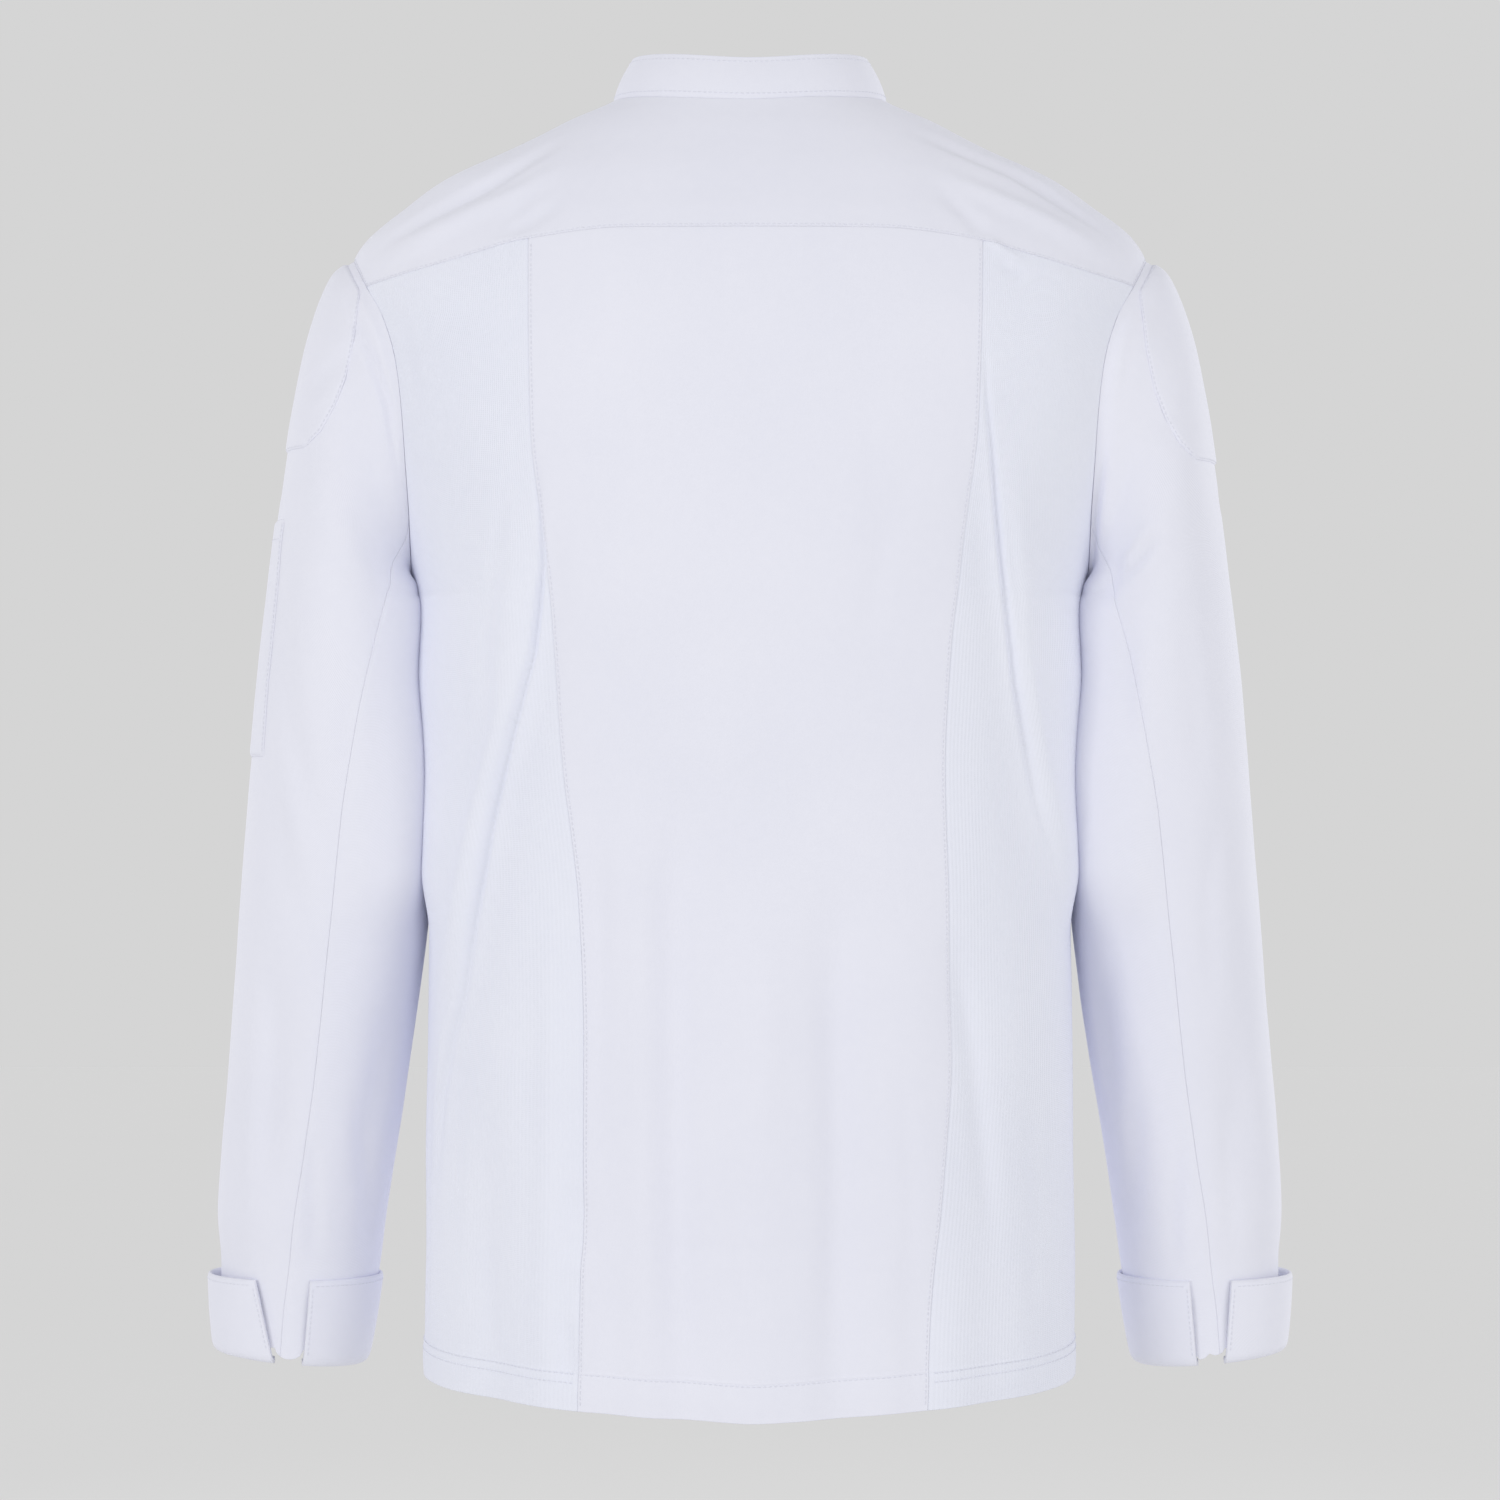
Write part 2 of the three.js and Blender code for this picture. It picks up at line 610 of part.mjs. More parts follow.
// Folds of the sleeves, by height and by the way round the sleeve in millimetres.
const mmPerDegree = 0.95;
const acrossTurn = (turn) => (turn > 250 ? turn - 360 : turn) * mmPerDegree;
const leftSleeveFolds = [
  fold("trough", 4, 13, [[-660, 62], [-560, 66], [-480, 64]]),
  fold("trough", 3.5, 12, [[-650, 128], [-560, 132], [-500, 132]]),
  fold("drape", 2.6, 13, [[-500, 82], [-440, 66], [-370, 44]]),
  fold("trough", 4, 15, [[-640, -20], [-480, -26], [-360, -34]]),
  fold("trough", 3.5, 15, [[-640, -76], [-450, -84], [-330, -80]]),
];
const rightSleeveFolds = [
  fold("trough", 3.5, 13, [[-660, 58], [-600, 58], [-520, 56]]),
  fold("trough", 4, 13, [[-610, 138], [-540, 136], [-470, 132]]),
  fold("drape", -2.5, 12, [[-400, 98], [-330, 106], [-280, 96]]),
  fold("trough", 4, 15, [[-640, -16], [-500, -28], [-380, -30]]),
  fold("trough", 3.5, 15, [[-640, -80], [-480, -78], [-340, -86]]),
];

// The fullness of the sleeve's head stands up beside the armhole seam, at the back and the front.
const head = { rise: 2.2, row: 1.1, spread: 0.8, turn: 92, width: 42 };
function headRise(row, turn) {
  const along = (row - head.row) / head.spread;
  const round = (Math.abs(turn > 180 ? 360 - turn : turn) - head.turn) / head.width;
  return head.rise * Math.exp(-along * along - round * round) * ease(row * 2);
}

const besideBody = { turn: 26, fade: 14 }; // the sleeve is flat where it lies on the body
const firstFoldRow = 5; // the folds come in over the next foldRows rows
const foldRows = 3;
function sleevePoint(row, turn, side, more = 0) {
  const point = sleeveBase(row, turn, side);
  const normal = sleeveNormal(row, turn, side);
  const folds = side > 0 ? leftSleeveFolds : rightSleeveFolds;
  const clear = 1 - ease((besideBody.turn - Math.abs(180 - turn)) / besideBody.fade);
  const below = ease((row - firstFoldRow) / foldRows);
  const height = foldHeight(folds, acrossTurn(turn), point.z) * below * clear + headRise(row, turn);
  point.addScaledVector(normal, height + more);
  return { point, normal };
}

// The sleeve shows in the notch of the turned-up cuff and ends there in two rounded tips.
const cuffNotch = { innerTurn: 105.5, outerTop: 67, outerBottom: 82 };
const tip = { reach: 13, notch: 9, width: 8.1, seamTurn: 86 };
function endRow(turn) {
  const fromOuter = ease((turn - cuffNotch.outerTop - 4) / 10);
  const fromInner = ease((cuffNotch.innerTurn - 2 - turn) / 8);
  const fromSeam = Math.abs(turn - tip.seamTurn) / tip.width;
  const notch = tip.notch * Math.max(0, 1 - fromSeam) ** 1.5;
  return (tip.reach - notch) * fromOuter * fromInner;
}

const sleeveLevels = [0, 0.5, 1.2, 2, 3, 4, 5, 6, 7, 8, 9, 10, 11, 12, 13, 14, 15, 16, 17, 18, 19];
const underSteps = 8;
function sleevePiece(side, fromTurn, toTurn, steps) {
  const rows = sleeveLevels.map((row) =>
    spaced(fromTurn(row), toTurn(row), steps).map((turn) => {
      const made = sleevePoint(row, turn, side);
      if (row === 19) made.point.z -= endRow(turn);
      return made;
    }),
  );
  return wall(seamed(rows, 0, 0), cloth);
}

// What lies on the upper sleeve is a second layer made from its own points, cut to an outline.
const upperSteps = 14;
const upperFrom = (row) => sleeve.frontSeam(row) - 360;
const upperTo = (row) => sleeve.backSeam(row);
function onSleeve(side, levels, block) {
  const rise = seam + overlay;
  const rows = levels.map((row) =>
    spaced(upperFrom(row), upperTo(row), upperSteps).map((turn) => sleevePoint(row, turn, side, rise)),
  );
  return geometryOf(manifoldOf(wall(rows, overlay)).intersect(block));
}

function manifoldOf(geometry) {
  const bare = new THREE.BufferGeometry();
  bare.setAttribute("position", geometry.getAttribute("position"));
  bare.setIndex(geometry.getIndex());
  const merged = mergeVertices(bare, 1e-4);
  const vertProperties = merged.getAttribute("position").array;
  return new wasm.Manifold(new wasm.Mesh({ numProp: 3, vertProperties, triVerts: merged.getIndex().array }));
}

function geometryOf(solid) {
  const { vertProperties, triVerts } = solid.getMesh();
  const geometry = new THREE.BufferGeometry();
  geometry.setAttribute("position", new THREE.BufferAttribute(vertProperties, 3));
  geometry.setIndex(new THREE.BufferAttribute(triVerts, 1));
  geometry.computeVertexNormals();
  return geometry;
}

// A block with an outline of two coordinates and Z, far enough along the third to cut right through.
const cutterDepth = 400;
function cutter(outline, along) {
  const shape = new THREE.Shape(outline.map(([u, z]) => new THREE.Vector2(u, z)));
  const block = new THREE.ExtrudeGeometry(shape, { depth: cutterDepth, bevelEnabled: false });
  block.deleteAttribute("normal");
  block.deleteAttribute("uv");
  block.rotateX(Math.PI / 2);
  if (along === "y") block.translate(0, cutterDepth / 2, 0);
  else block.rotateZ(Math.PI / 2);
  return manifoldOf(mergeVertices(block, 1e-4));
}

// The shoulder patch seen from the back: its back edge, then its lower edge.
const patchEdge = table("x z", [
  [225, -60],
  [225, -118],
  [227.5, -150],
  [232, -174],
  [238, -190],
  [246, -204],
  [256, -213],
  [330, -213],
  [330, -60],
]);
const patchRows = sleeveLevels.filter((row) => row > 0.2 && row < 7.5);
const leftPatchRise = 7; // the left sleeve's patch sits this much higher
function shoulderPatch(side) {
  const rise = side > 0 ? leftPatchRise : 0;
  const outline = patchEdge.map(({ x, z }) => [side * x, z + rise]);
  return onSleeve(side, patchRows, cutter(outline, "y"));
}

// The pen pocket's corners seen from the side: distance behind the middle, and height.
const pocketCorners = [
  [41, -246],
  [35, -384],
  [-39, -384],
  [-33, -246],
];
const pocketRows = sleeveLevels.filter((row) => row > 5.5 && row < 13.5);
const penPocket = () => onSleeve(1, pocketRows, cutter(pocketCorners, "x"));

// Turned-up cuffs: a hooked section swept round the sleeve's end, from one side of the notch to
// the other. Each point of the section has a distance out from the cuff's face and a share down it.
const cuffSections = table("row outX outZ inX inZ back front y", [
  [0, 323.2, -692, 219, -693, 47, 46, -31],
  [1, 320.4, -736, 227, -744, 46, 45, -31],
]);
const cuffHook = table("out down", [
  [0, 0],
  [0.5, 0.25],
  [0.5, 0.55],
  [0, 0.85],
  [-0.8, 0.95],
  [-2.6, 1],
  [-5.4, 1.01],
  [-7.2, 0.96],
  [-6.8, 0.93],
  [-5, 0.945],
  [-3.2, 0.92],
  [-2.4, 0.84],
  [-1.9, 0.55],
  [-1.9, 0.25],
  [-2.4, 0],
]);

function cuff(side) {
  const steps = 26;
  const section = (t) => {
    const made = {};
    for (const column of ["outX", "outZ", "inX", "inZ", "back", "front", "y"]) {
      made[column] = lerp(cuffSections[0][column], cuffSections[1][column], t);
    }
    return made;
  };
  const rows = cuffHook.map(({ out, down }) => {
    const outerTurn = 360 + lerp(cuffNotch.outerTop, cuffNotch.outerBottom, clamp(down, 0, 1));
    return spaced(cuffNotch.innerTurn, outerTurn, steps).map((turn) => {
      const point = ovalPoint(section(down), turn % 360, side);
      const away = new THREE.Vector3(side * Math.cos(rad(turn)), Math.sin(rad(turn)), 0);
      return point.addScaledVector(away, out);
    });
  });
  return swept(rows);
}

// A solid from closed loops: rows[i][j] is point i of the section at step j of the sweep.
function swept(rows) {
  const round = rows.length;
  const long = rows[0].length;
  const positions = rows.flatMap((row) => row.flatMap((p) => p.toArray()));
  const at = (i, j) => (i % round) * long + j;
  const faces = [];
  for (let i = 0; i < round; i += 1) {
    for (let j = 0; j < long - 1; j += 1) {
      faces.push(at(i, j), at(i, j + 1), at(i + 1, j + 1), at(i, j), at(i + 1, j + 1), at(i + 1, j));
    }
  }
  // The two ends are strips between the section's outer and inner halves.
  for (let i = 0; i < Math.floor(round / 2); i += 1) {
    const k = round - 1 - i;
    if (i + 1 < k) faces.push(at(i, 0), at(i + 1, 0), at(k, 0));
    if (i + 1 < k - 1) faces.push(at(i + 1, 0), at(k - 1, 0), at(k, 0));
    if (i + 1 < k) faces.push(at(i, long - 1), at(k, long - 1), at(i + 1, long - 1));
    if (i + 1 < k - 1) faces.push(at(i + 1, long - 1), at(k, long - 1), at(k - 1, long - 1));
  }
  return solidFrom(positions, faces);
}

// Press studs along the edge of the left front.
function studGeometry() {
  const h = stud.height;
  const r = stud.radius;
  const profile = [
    [0, 0],
    [r * 0.8, 0],
    [r, h * 0.35],
    [r * 0.86, h * 0.8],
    [r * 0.5, h],
    [0, h * 0.92],
  ].map(([x, y]) => new THREE.Vector2(x, y));
  return new THREE.LatheGeometry(profile, 14).rotateX(Math.PI / 2);
}

function studPlace(i) {
  const z = stud.firstZ - i * stud.pitch;
  const x = -(overlap - stud.edgeInset);
  const made = worn(bodyBase(z, turnAtX(z, x, -1)), layerRise);
  const clearOfCurve = 0.25; // the seat is flat and the cloth under it is curved
  return {
    position: made.point.addScaledVector(made.normal, seam + clearOfCurve),
    turned: new THREE.Quaternion().setFromUnitVectors(new THREE.Vector3(0, 0, 1), made.normal),
  };
}

// The jacket
const white = { color: 0xe6e7f1, roughness: 0.85, metalness: 0 };
const plain = new THREE.MeshStandardMaterial({ ...white, name: "twill" });
const ribbed = new THREE.MeshStandardMaterial({ ...white, color: 0xe1e4ee, name: "ribbed_knit" });
const metal = new THREE.MeshStandardMaterial({ color: 0xf2f2f4, roughness: 0.35, name: "stud_cap" });

const jacket = new THREE.Group();
function add(name, geometry, material = plain) {
  const mesh = new THREE.Mesh(geometry, material.clone());
  mesh.name = name;
  jacket.add(mesh);
  return mesh;
}

add("collar", standCollar());
add("yoke", yoke());
add("back_middle", middleBack());
add("front_left", front(1, overlap, upperLift));
add("front_right", front(-1, underlap, () => 0));
for (const [name, side] of [["left", 1], ["right", -1]]) {
  add(`back_side_${name}`, sideBack(side), ribbed);
  add(`sleeve_upper_${name}`, sleevePiece(side, upperFrom, upperTo, upperSteps));
  add(`sleeve_under_${name}`, sleevePiece(side, upperTo, (row) => sleeve.frontSeam(row), underSteps));
  add(`shoulder_patch_${name}`, shoulderPatch(side));
  add(`cuff_${name}`, cuff(side));
}
add("pen_pocket", penPocket());
for (let i = 0; i < stud.count; i += 1) {
  const { position, turned } = studPlace(i);
  const mesh = add(`stud_${i + 1}`, studGeometry(), metal);
  mesh.position.copy(position);
  mesh.quaternion.copy(turned);
}

export default jacket;
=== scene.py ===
import math

import bpy
import numpy as np
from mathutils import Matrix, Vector


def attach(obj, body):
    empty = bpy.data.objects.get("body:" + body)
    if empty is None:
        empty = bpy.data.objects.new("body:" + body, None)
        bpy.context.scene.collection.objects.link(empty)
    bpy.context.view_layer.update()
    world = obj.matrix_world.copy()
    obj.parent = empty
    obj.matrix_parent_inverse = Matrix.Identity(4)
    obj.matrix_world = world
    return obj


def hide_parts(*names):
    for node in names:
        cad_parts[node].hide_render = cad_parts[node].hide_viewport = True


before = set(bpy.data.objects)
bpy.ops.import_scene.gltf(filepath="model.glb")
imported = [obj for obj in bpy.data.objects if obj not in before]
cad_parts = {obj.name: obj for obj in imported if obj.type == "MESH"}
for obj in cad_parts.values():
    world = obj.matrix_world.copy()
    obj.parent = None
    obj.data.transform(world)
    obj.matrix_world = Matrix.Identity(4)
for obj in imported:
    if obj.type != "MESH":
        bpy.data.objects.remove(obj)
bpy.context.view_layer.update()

# The looks of a long-sleeved chef jacket, filled out as it is worn. The sizes and tables below are
# in millimetres, and a mesh is scaled to metres when it is made. +Y is the back, -Y the front and
# +X the left. Every piece of cloth is a thin shell on its solid's form.
MM = 0.001

# Camera, level with the middle of the back
FIELD = 0.8835  # width of the view at the neck, in metres
DISTANCE = 2.4
SENSOR = 36.0
EYE_HEIGHT = -0.38
camera_data = bpy.data.cameras.new("camera")
camera_data.sensor_width = SENSOR
camera_data.lens = SENSOR * DISTANCE / FIELD
camera = bpy.data.objects.new("camera", camera_data)
camera.location = (0, DISTANCE, EYE_HEIGHT)
camera.rotation_euler = (math.radians(90), 0, math.radians(180))
bpy.context.collection.objects.link(camera)
bpy.context.scene.camera = camera

# Driving dimensions
CLOTH = 1.5
DOUBLED = 2.4
OVERLAY = 1.1
SEAM = 0.3
HEM_DEPTH = 22.0
HEM_RISE = 0.6
HEM_LEVEL = -750.0
STRAIGHT_Z = -600.0
UNDERARM_Z = -290.0
SHOULDER_TIP_Z = -92.6
OVERLAP = 48.0
UNDERLAP = 42.0
LAYER_RISE = 2.2
NECK_HALF, NECK_BACK, NECK_FRONT, NECK_CLEAR = 81.0, 62.0, 92.0, 1.3
COLLAR_RISE, COLLAR_LEAN, COLLAR_END_GAP, COLLAR_CORNER = 26.0, 11.0, 2.5, 12.0
STEP, FINE_STEP = 3.4, 2.6  # the size of a mesh's cells
SIDE_NAMES = {1: "left", -1: "right"}


# Small tools
def table(columns, rows):
    """A table with named columns: one array for each."""
    return dict(zip(columns.split(), np.array(rows, dtype=float).T))


def curve(keys, values):
    """A smooth curve through the values that never overshoots between them."""
    rise = np.diff(values) / np.diff(keys)
    product = rise[:-1] * rise[1:]
    inner = np.divide(2 * product, rise[:-1] + rise[1:], out=np.zeros_like(product), where=product > 0)
    slope = np.concatenate([rise[:1], inner, rise[-1:]])

    def at(place):
        c = np.clip(place, keys[0], keys[-1])
        i = np.clip(np.searchsorted(keys, c) - 1, 0, len(keys) - 2)
        h = keys[i + 1] - keys[i]
        t = (c - keys[i]) / h
        start = (1 + 2 * t) * (1 - t) ** 2 * values[i] + t * (1 - t) ** 2 * h * slope[i]
        end = t * t * (3 - 2 * t) * values[i + 1] + t * t * (t - 1) * h * slope[i + 1]
        return start + end

    return at


def curves(rows, key):
    return {name: curve(rows[key], values) for name, values in rows.items() if name != key}


def ease(t):
    c = np.clip(t, 0, 1)
    return c * c * (3 - 2 * c)


def lerp(a, b, t):
    return a + (b - a) * t


HALVINGS = 36


def solve(f, low, high, target):
    """The value between low and high where a rising function passes a target."""
    a, b = np.asarray(low, dtype=float), np.asarray(high, dtype=float)
    for _ in range(HALVINGS):
        mid = (a + b) / 2
        short = f(mid) < target
        a, b = np.where(short, mid, a), np.where(short, b, mid)
    return (a + b) / 2


def unit(vectors):
    return vectors / np.maximum(np.linalg.norm(vectors, axis=-1, keepdims=True), 1e-9)


# How far in from both ends of a length the close places lie
NEAR, NEAR_FOLDED = (0.0, 0.5, 1.0, 1.5, 2.0, 2.8, 4.0), (0.0, 0.8, 2.0)


def spread(length, step, near=NEAR):
    """Places along a length: close together near both ends, and about a step apart between."""
    count = max(2, round((length - 2 * near[-1]) / step))
    between = np.linspace(near[-1], length - near[-1], count + 1)
    ends = np.array(near[:-1])
    return np.concatenate([ends, between, length - ends[::-1]])


def shares(length, step=STEP, near=NEAR):
    """The same places, as shares of the length."""
    return spread(length, step, near) / length


# The body: level sections of a rounded oblong, from the hem to the side neck points
BODY = table("z half back front square", [
    (-770, 191, 134.5, 130, 2.3),
    (-650, 190.5, 131, 129, 2.3),
    (-560, 189.5, 128, 128, 2.3),
    (-480, 188, 123.5, 128, 2.3),
    (-440, 187.2, 121.5, 127.5, 2.3),
    (-400, 187.2, 120, 127, 2.3),
    (-340, 192.4, 121.5, 126.5, 2.3),
    (-290, 197, 124.5, 126, 2.3),
    (-275, 200.5, 125.2, 126, 2.3),
    (-250, 208, 125.8, 126, 2.3),
    (-210, 221, 125.5, 125, 2.3),
    (-180, 228, 123.5, 123, 2.3),
    (-155, 232, 120.5, 120, 2.27),
    (-130, 236, 116, 116, 2.22),
    (-112, 236.5, 111.5, 112, 2.15),
    (-92.6, 232.7, 106, 106, 2.05),
    (-82, 226.5, 102.5, 101.5, 2.02),
    (-73, 217, 99.5, 96.5, 2),
    (-64, 205, 95.5, 91, 2),
    (-47, 182, 87.5, 76, 2),
    (-29.5, 144.5, 77.5, 59.5, 2),
    (-20.6, 126, 72, 51.5, 2),
    (-11.8, 108, 65.5, 43, 2),
    (-3, 87, 59.5, 33, 2),
    (0, 81, 57, 29, 2),
    (6, 66, 50, 20, 2),
])
body = curves(BODY, "z")

# How far out the armhole lies at each height
ARMHOLE = table("z x", [
    (-290, 197),
    (-250, 196.5),
    (-210, 198),
    (-180, 200),
    (-155, 203.5),
    (-130, 211.5),
    (-112, 222),
    (-92.6, 232.7),
])
armhole_x = curve(ARMHOLE["z"], ARMHOLE["x"])

# The seams between the middle back and the two ribbed side backs
BACK_SEAMS = table("z left right", [
    (-770, 96.5, 99),
    (-680, 95.5, 103),
    (-620, 94, 109),
    (-550, 94, 114),
    (-465, 96.5, 112),
    (-390, 105.5, 110),
    (-325, 111, 113),
    (-275, 115, 119),
    (-195, 123.5, 128.5),
    (-80, 126, 132.5),
])
back_seams = curves(BACK_SEAMS, "z")
BACK_SEAM_TOP_Z = -90.0

# The lower edge of the yoke: its height at each distance from the middle of the back
YOKE = table("x z", [(0, -84.5), (70, -84.5), (130, -90), (150, -95), (185, -104), (222, -112)])
yoke_z = curve(YOKE["x"], YOKE["z"])
YOKE_CORNER_X, YOKE_CORNER_Z = YOKE["x"][-1], YOKE["z"][-1]

# The hem hangs lowest at the middle of the back
HEM = table("turn z", [(0, -755), (45, -747.5), (90, -744), (180, -749)])
hem_z = curve(HEM["turn"], HEM["z"])


def powered(value, exponent):
    return np.sign(value) * np.abs(value) ** exponent


def depth_at(z, behind):
    return np.where(behind, body["back"](z), body["front"](z))


def body_point(z, turn):
    """A point of the body. Turn is 0 at the middle of the back and 90 at the wearer's left."""
    z, turn = np.broadcast_arrays(z, turn)
    s, c = np.sin(np.radians(turn)), np.cos(np.radians(turn))
    e = 2 / body["square"](z)
    return np.stack([body["half"](z) * powered(s, e), depth_at(z, c > 0) * powered(c, e), z], axis=-1)


def body_measure(x, y, z):
    """How far out of the body a point is: 1 on its face."""
    n = body["square"](z)
    return (np.abs(x) / body["half"](z)) ** n + (np.abs(y) / depth_at(z, y > 0)) ** n


def body_normal(p):
    h = 0.4
    x, y, z = p[..., 0], p[..., 1], p[..., 2]
    return unit(np.stack([
        body_measure(x + h, y, z) - body_measure(x - h, y, z),
        body_measure(x, y + h, z) - body_measure(x, y - h, z),
        body_measure(x, y, z + h) - body_measure(x, y, z - h),
    ], axis=-1))


def turn_at_x(z, x, face):
    """The turn of the point of a level section that is x out, on the back (1) or front (-1)."""
    share = np.clip(np.abs(x) / body["half"](z), 0, 1)
    angle = np.degrees(np.arcsin(share ** (body["square"](z) / 2)))
    return np.sign(x) * (angle if face > 0 else 180 - angle)


def turn_at_y(z, y):
    share = np.clip(np.abs(y) / depth_at(z, y > 0), 0, 1)
    angle = np.degrees(np.arcsin(share ** (body["square"](z) / 2)))
    return np.where(y > 0, 90 - angle, 90 + angle)


def armhole_y(z, face):
    """Half the armhole's width at a height, behind (1) or before (-1) the middle."""
    n = body["square"](z)
    share = np.clip(armhole_x(z) / body["half"](z), 0, 1)
    return (body["back"] if face > 0 else body["front"])(z) * (1 - share ** n) ** (1 / n)


ROOF_LOW, ROOF_HIGH = -118.0, 5.0


def roof(x, y):
    """The upper body seen from above: its height over a point of the plan."""
    return solve(lambda z: body_measure(x, y, z), np.full(np.shape(x), ROOF_LOW), ROOF_HIGH, 1)


def row_z(level, turn):
    """The height of a point of a row that is level above STRAIGHT_Z and follows the hem below it."""
    share = (STRAIGHT_Z - level) / (STRAIGHT_Z - HEM_LEVEL)
    return np.where(level >= STRAIGHT_Z, level + 0 * turn, lerp(STRAIGHT_Z, hem_z(np.abs(turn)), share))


SIDE_SEAM_SHIFT, SIDE_SEAM_RUN = 7, 70


def side_turn(z):
    """The side seam moves a little to the front below the underarm."""
    return 90 + SIDE_SEAM_SHIFT * ease((UNDERARM_Z - z) / SIDE_SEAM_RUN)


# Folds and creases
FOLD_FADE = 70
OPEN_END_Z = -700  # a fold that starts below this runs out through the hem
DRAPE_SLOPE = 1.65


def fold(shape, depth, width, path):
    rows = table("z across", path)
    return shape, depth, width, rows["z"][0], rows["z"][-1], curve(rows["z"], rows["across"])


def fold_height(folds, across, z):
    height = 0
    for shape, depth, width, low, high, path in folds:
        u = (across - path(z)) / width
        fade = (1 if low < OPEN_END_Z else ease((z - low) / FOLD_FADE)) * ease((high - z) / FOLD_FADE)
        bell = depth * fade * np.exp(-u * u)
        height = height + (bell * DRAPE_SLOPE * u if shape == "drape" else -bell)
    return height


BACK_FOLDS = [
    fold("drape", 3.8, 15, [(-620, 183), (-560, 174), (-490, 160.5), (-408, 144), (-324, 126), (-235, 121)]),
    fold("drape", -3.2, 15, [(-490, -184), (-447, -170), (-390, -158.5), (-318, -149), (-190, -134.5)]),
    fold("trough", 6.5, 19, [(-760, 33), (-560, 35), (-375, 36)]),
    fold("trough", 5.5, 22, [(-760, -56), (-600, -52), (-440, -48)]),
    fold("trough", 3.5, 15, [(-760, 80), (-560, 80), (-430, 84)]),
    fold("trough", 3, 14, [(-760, -92), (-640, -96)]),
    fold("trough", 4.5, 15, [(-760, 146), (-600, 152), (-560, 152)]),
    fold("trough", 2.5, 16, [(-760, -136), (-633, -133), (-454, -112)]),
]
FRONT_FOLDS = [
    fold("trough", 5, 20, [(-760, 92), (-560, 96), (-360, 110)]),
    fold("trough", 4.5, 20, [(-760, -104), (-600, -100), (-400, -112)]),
    fold("drape", 3, 16, [(-640, 160), (-480, 152), (-330, 142)]),
    fold("drape", -3, 16, [(-600, -162), (-460, -150), (-310, -140)]),
]
SLEEVE_FOLDS = {
    1: [
        fold("trough", 4, 13, [(-660, 62), (-560, 66), (-480, 64)]),
        fold("trough", 3.5, 12, [(-650, 128), (-560, 132), (-500, 132)]),
        fold("drape", 2.6, 13, [(-500, 82), (-440, 66), (-370, 44)]),
        fold("trough", 4, 15, [(-640, -20), (-480, -26), (-360, -34)]),
        fold("trough", 3.5, 15, [(-640, -76), (-450, -84), (-330, -80)]),
    ],
    -1: [
        fold("trough", 3.5, 13, [(-660, 58), (-600, 58), (-520, 56)]),
        fold("trough", 4, 13, [(-610, 138), (-540, 136), (-470, 132)]),
        fold("drape", -2.5, 12, [(-400, 98), (-330, 106), (-280, 96)]),
        fold("trough", 4, 15, [(-640, -16), (-500, -28), (-380, -30)]),
        fold("trough", 3.5, 15, [(-640, -80), (-480, -78), (-340, -86)]),
    ],
}


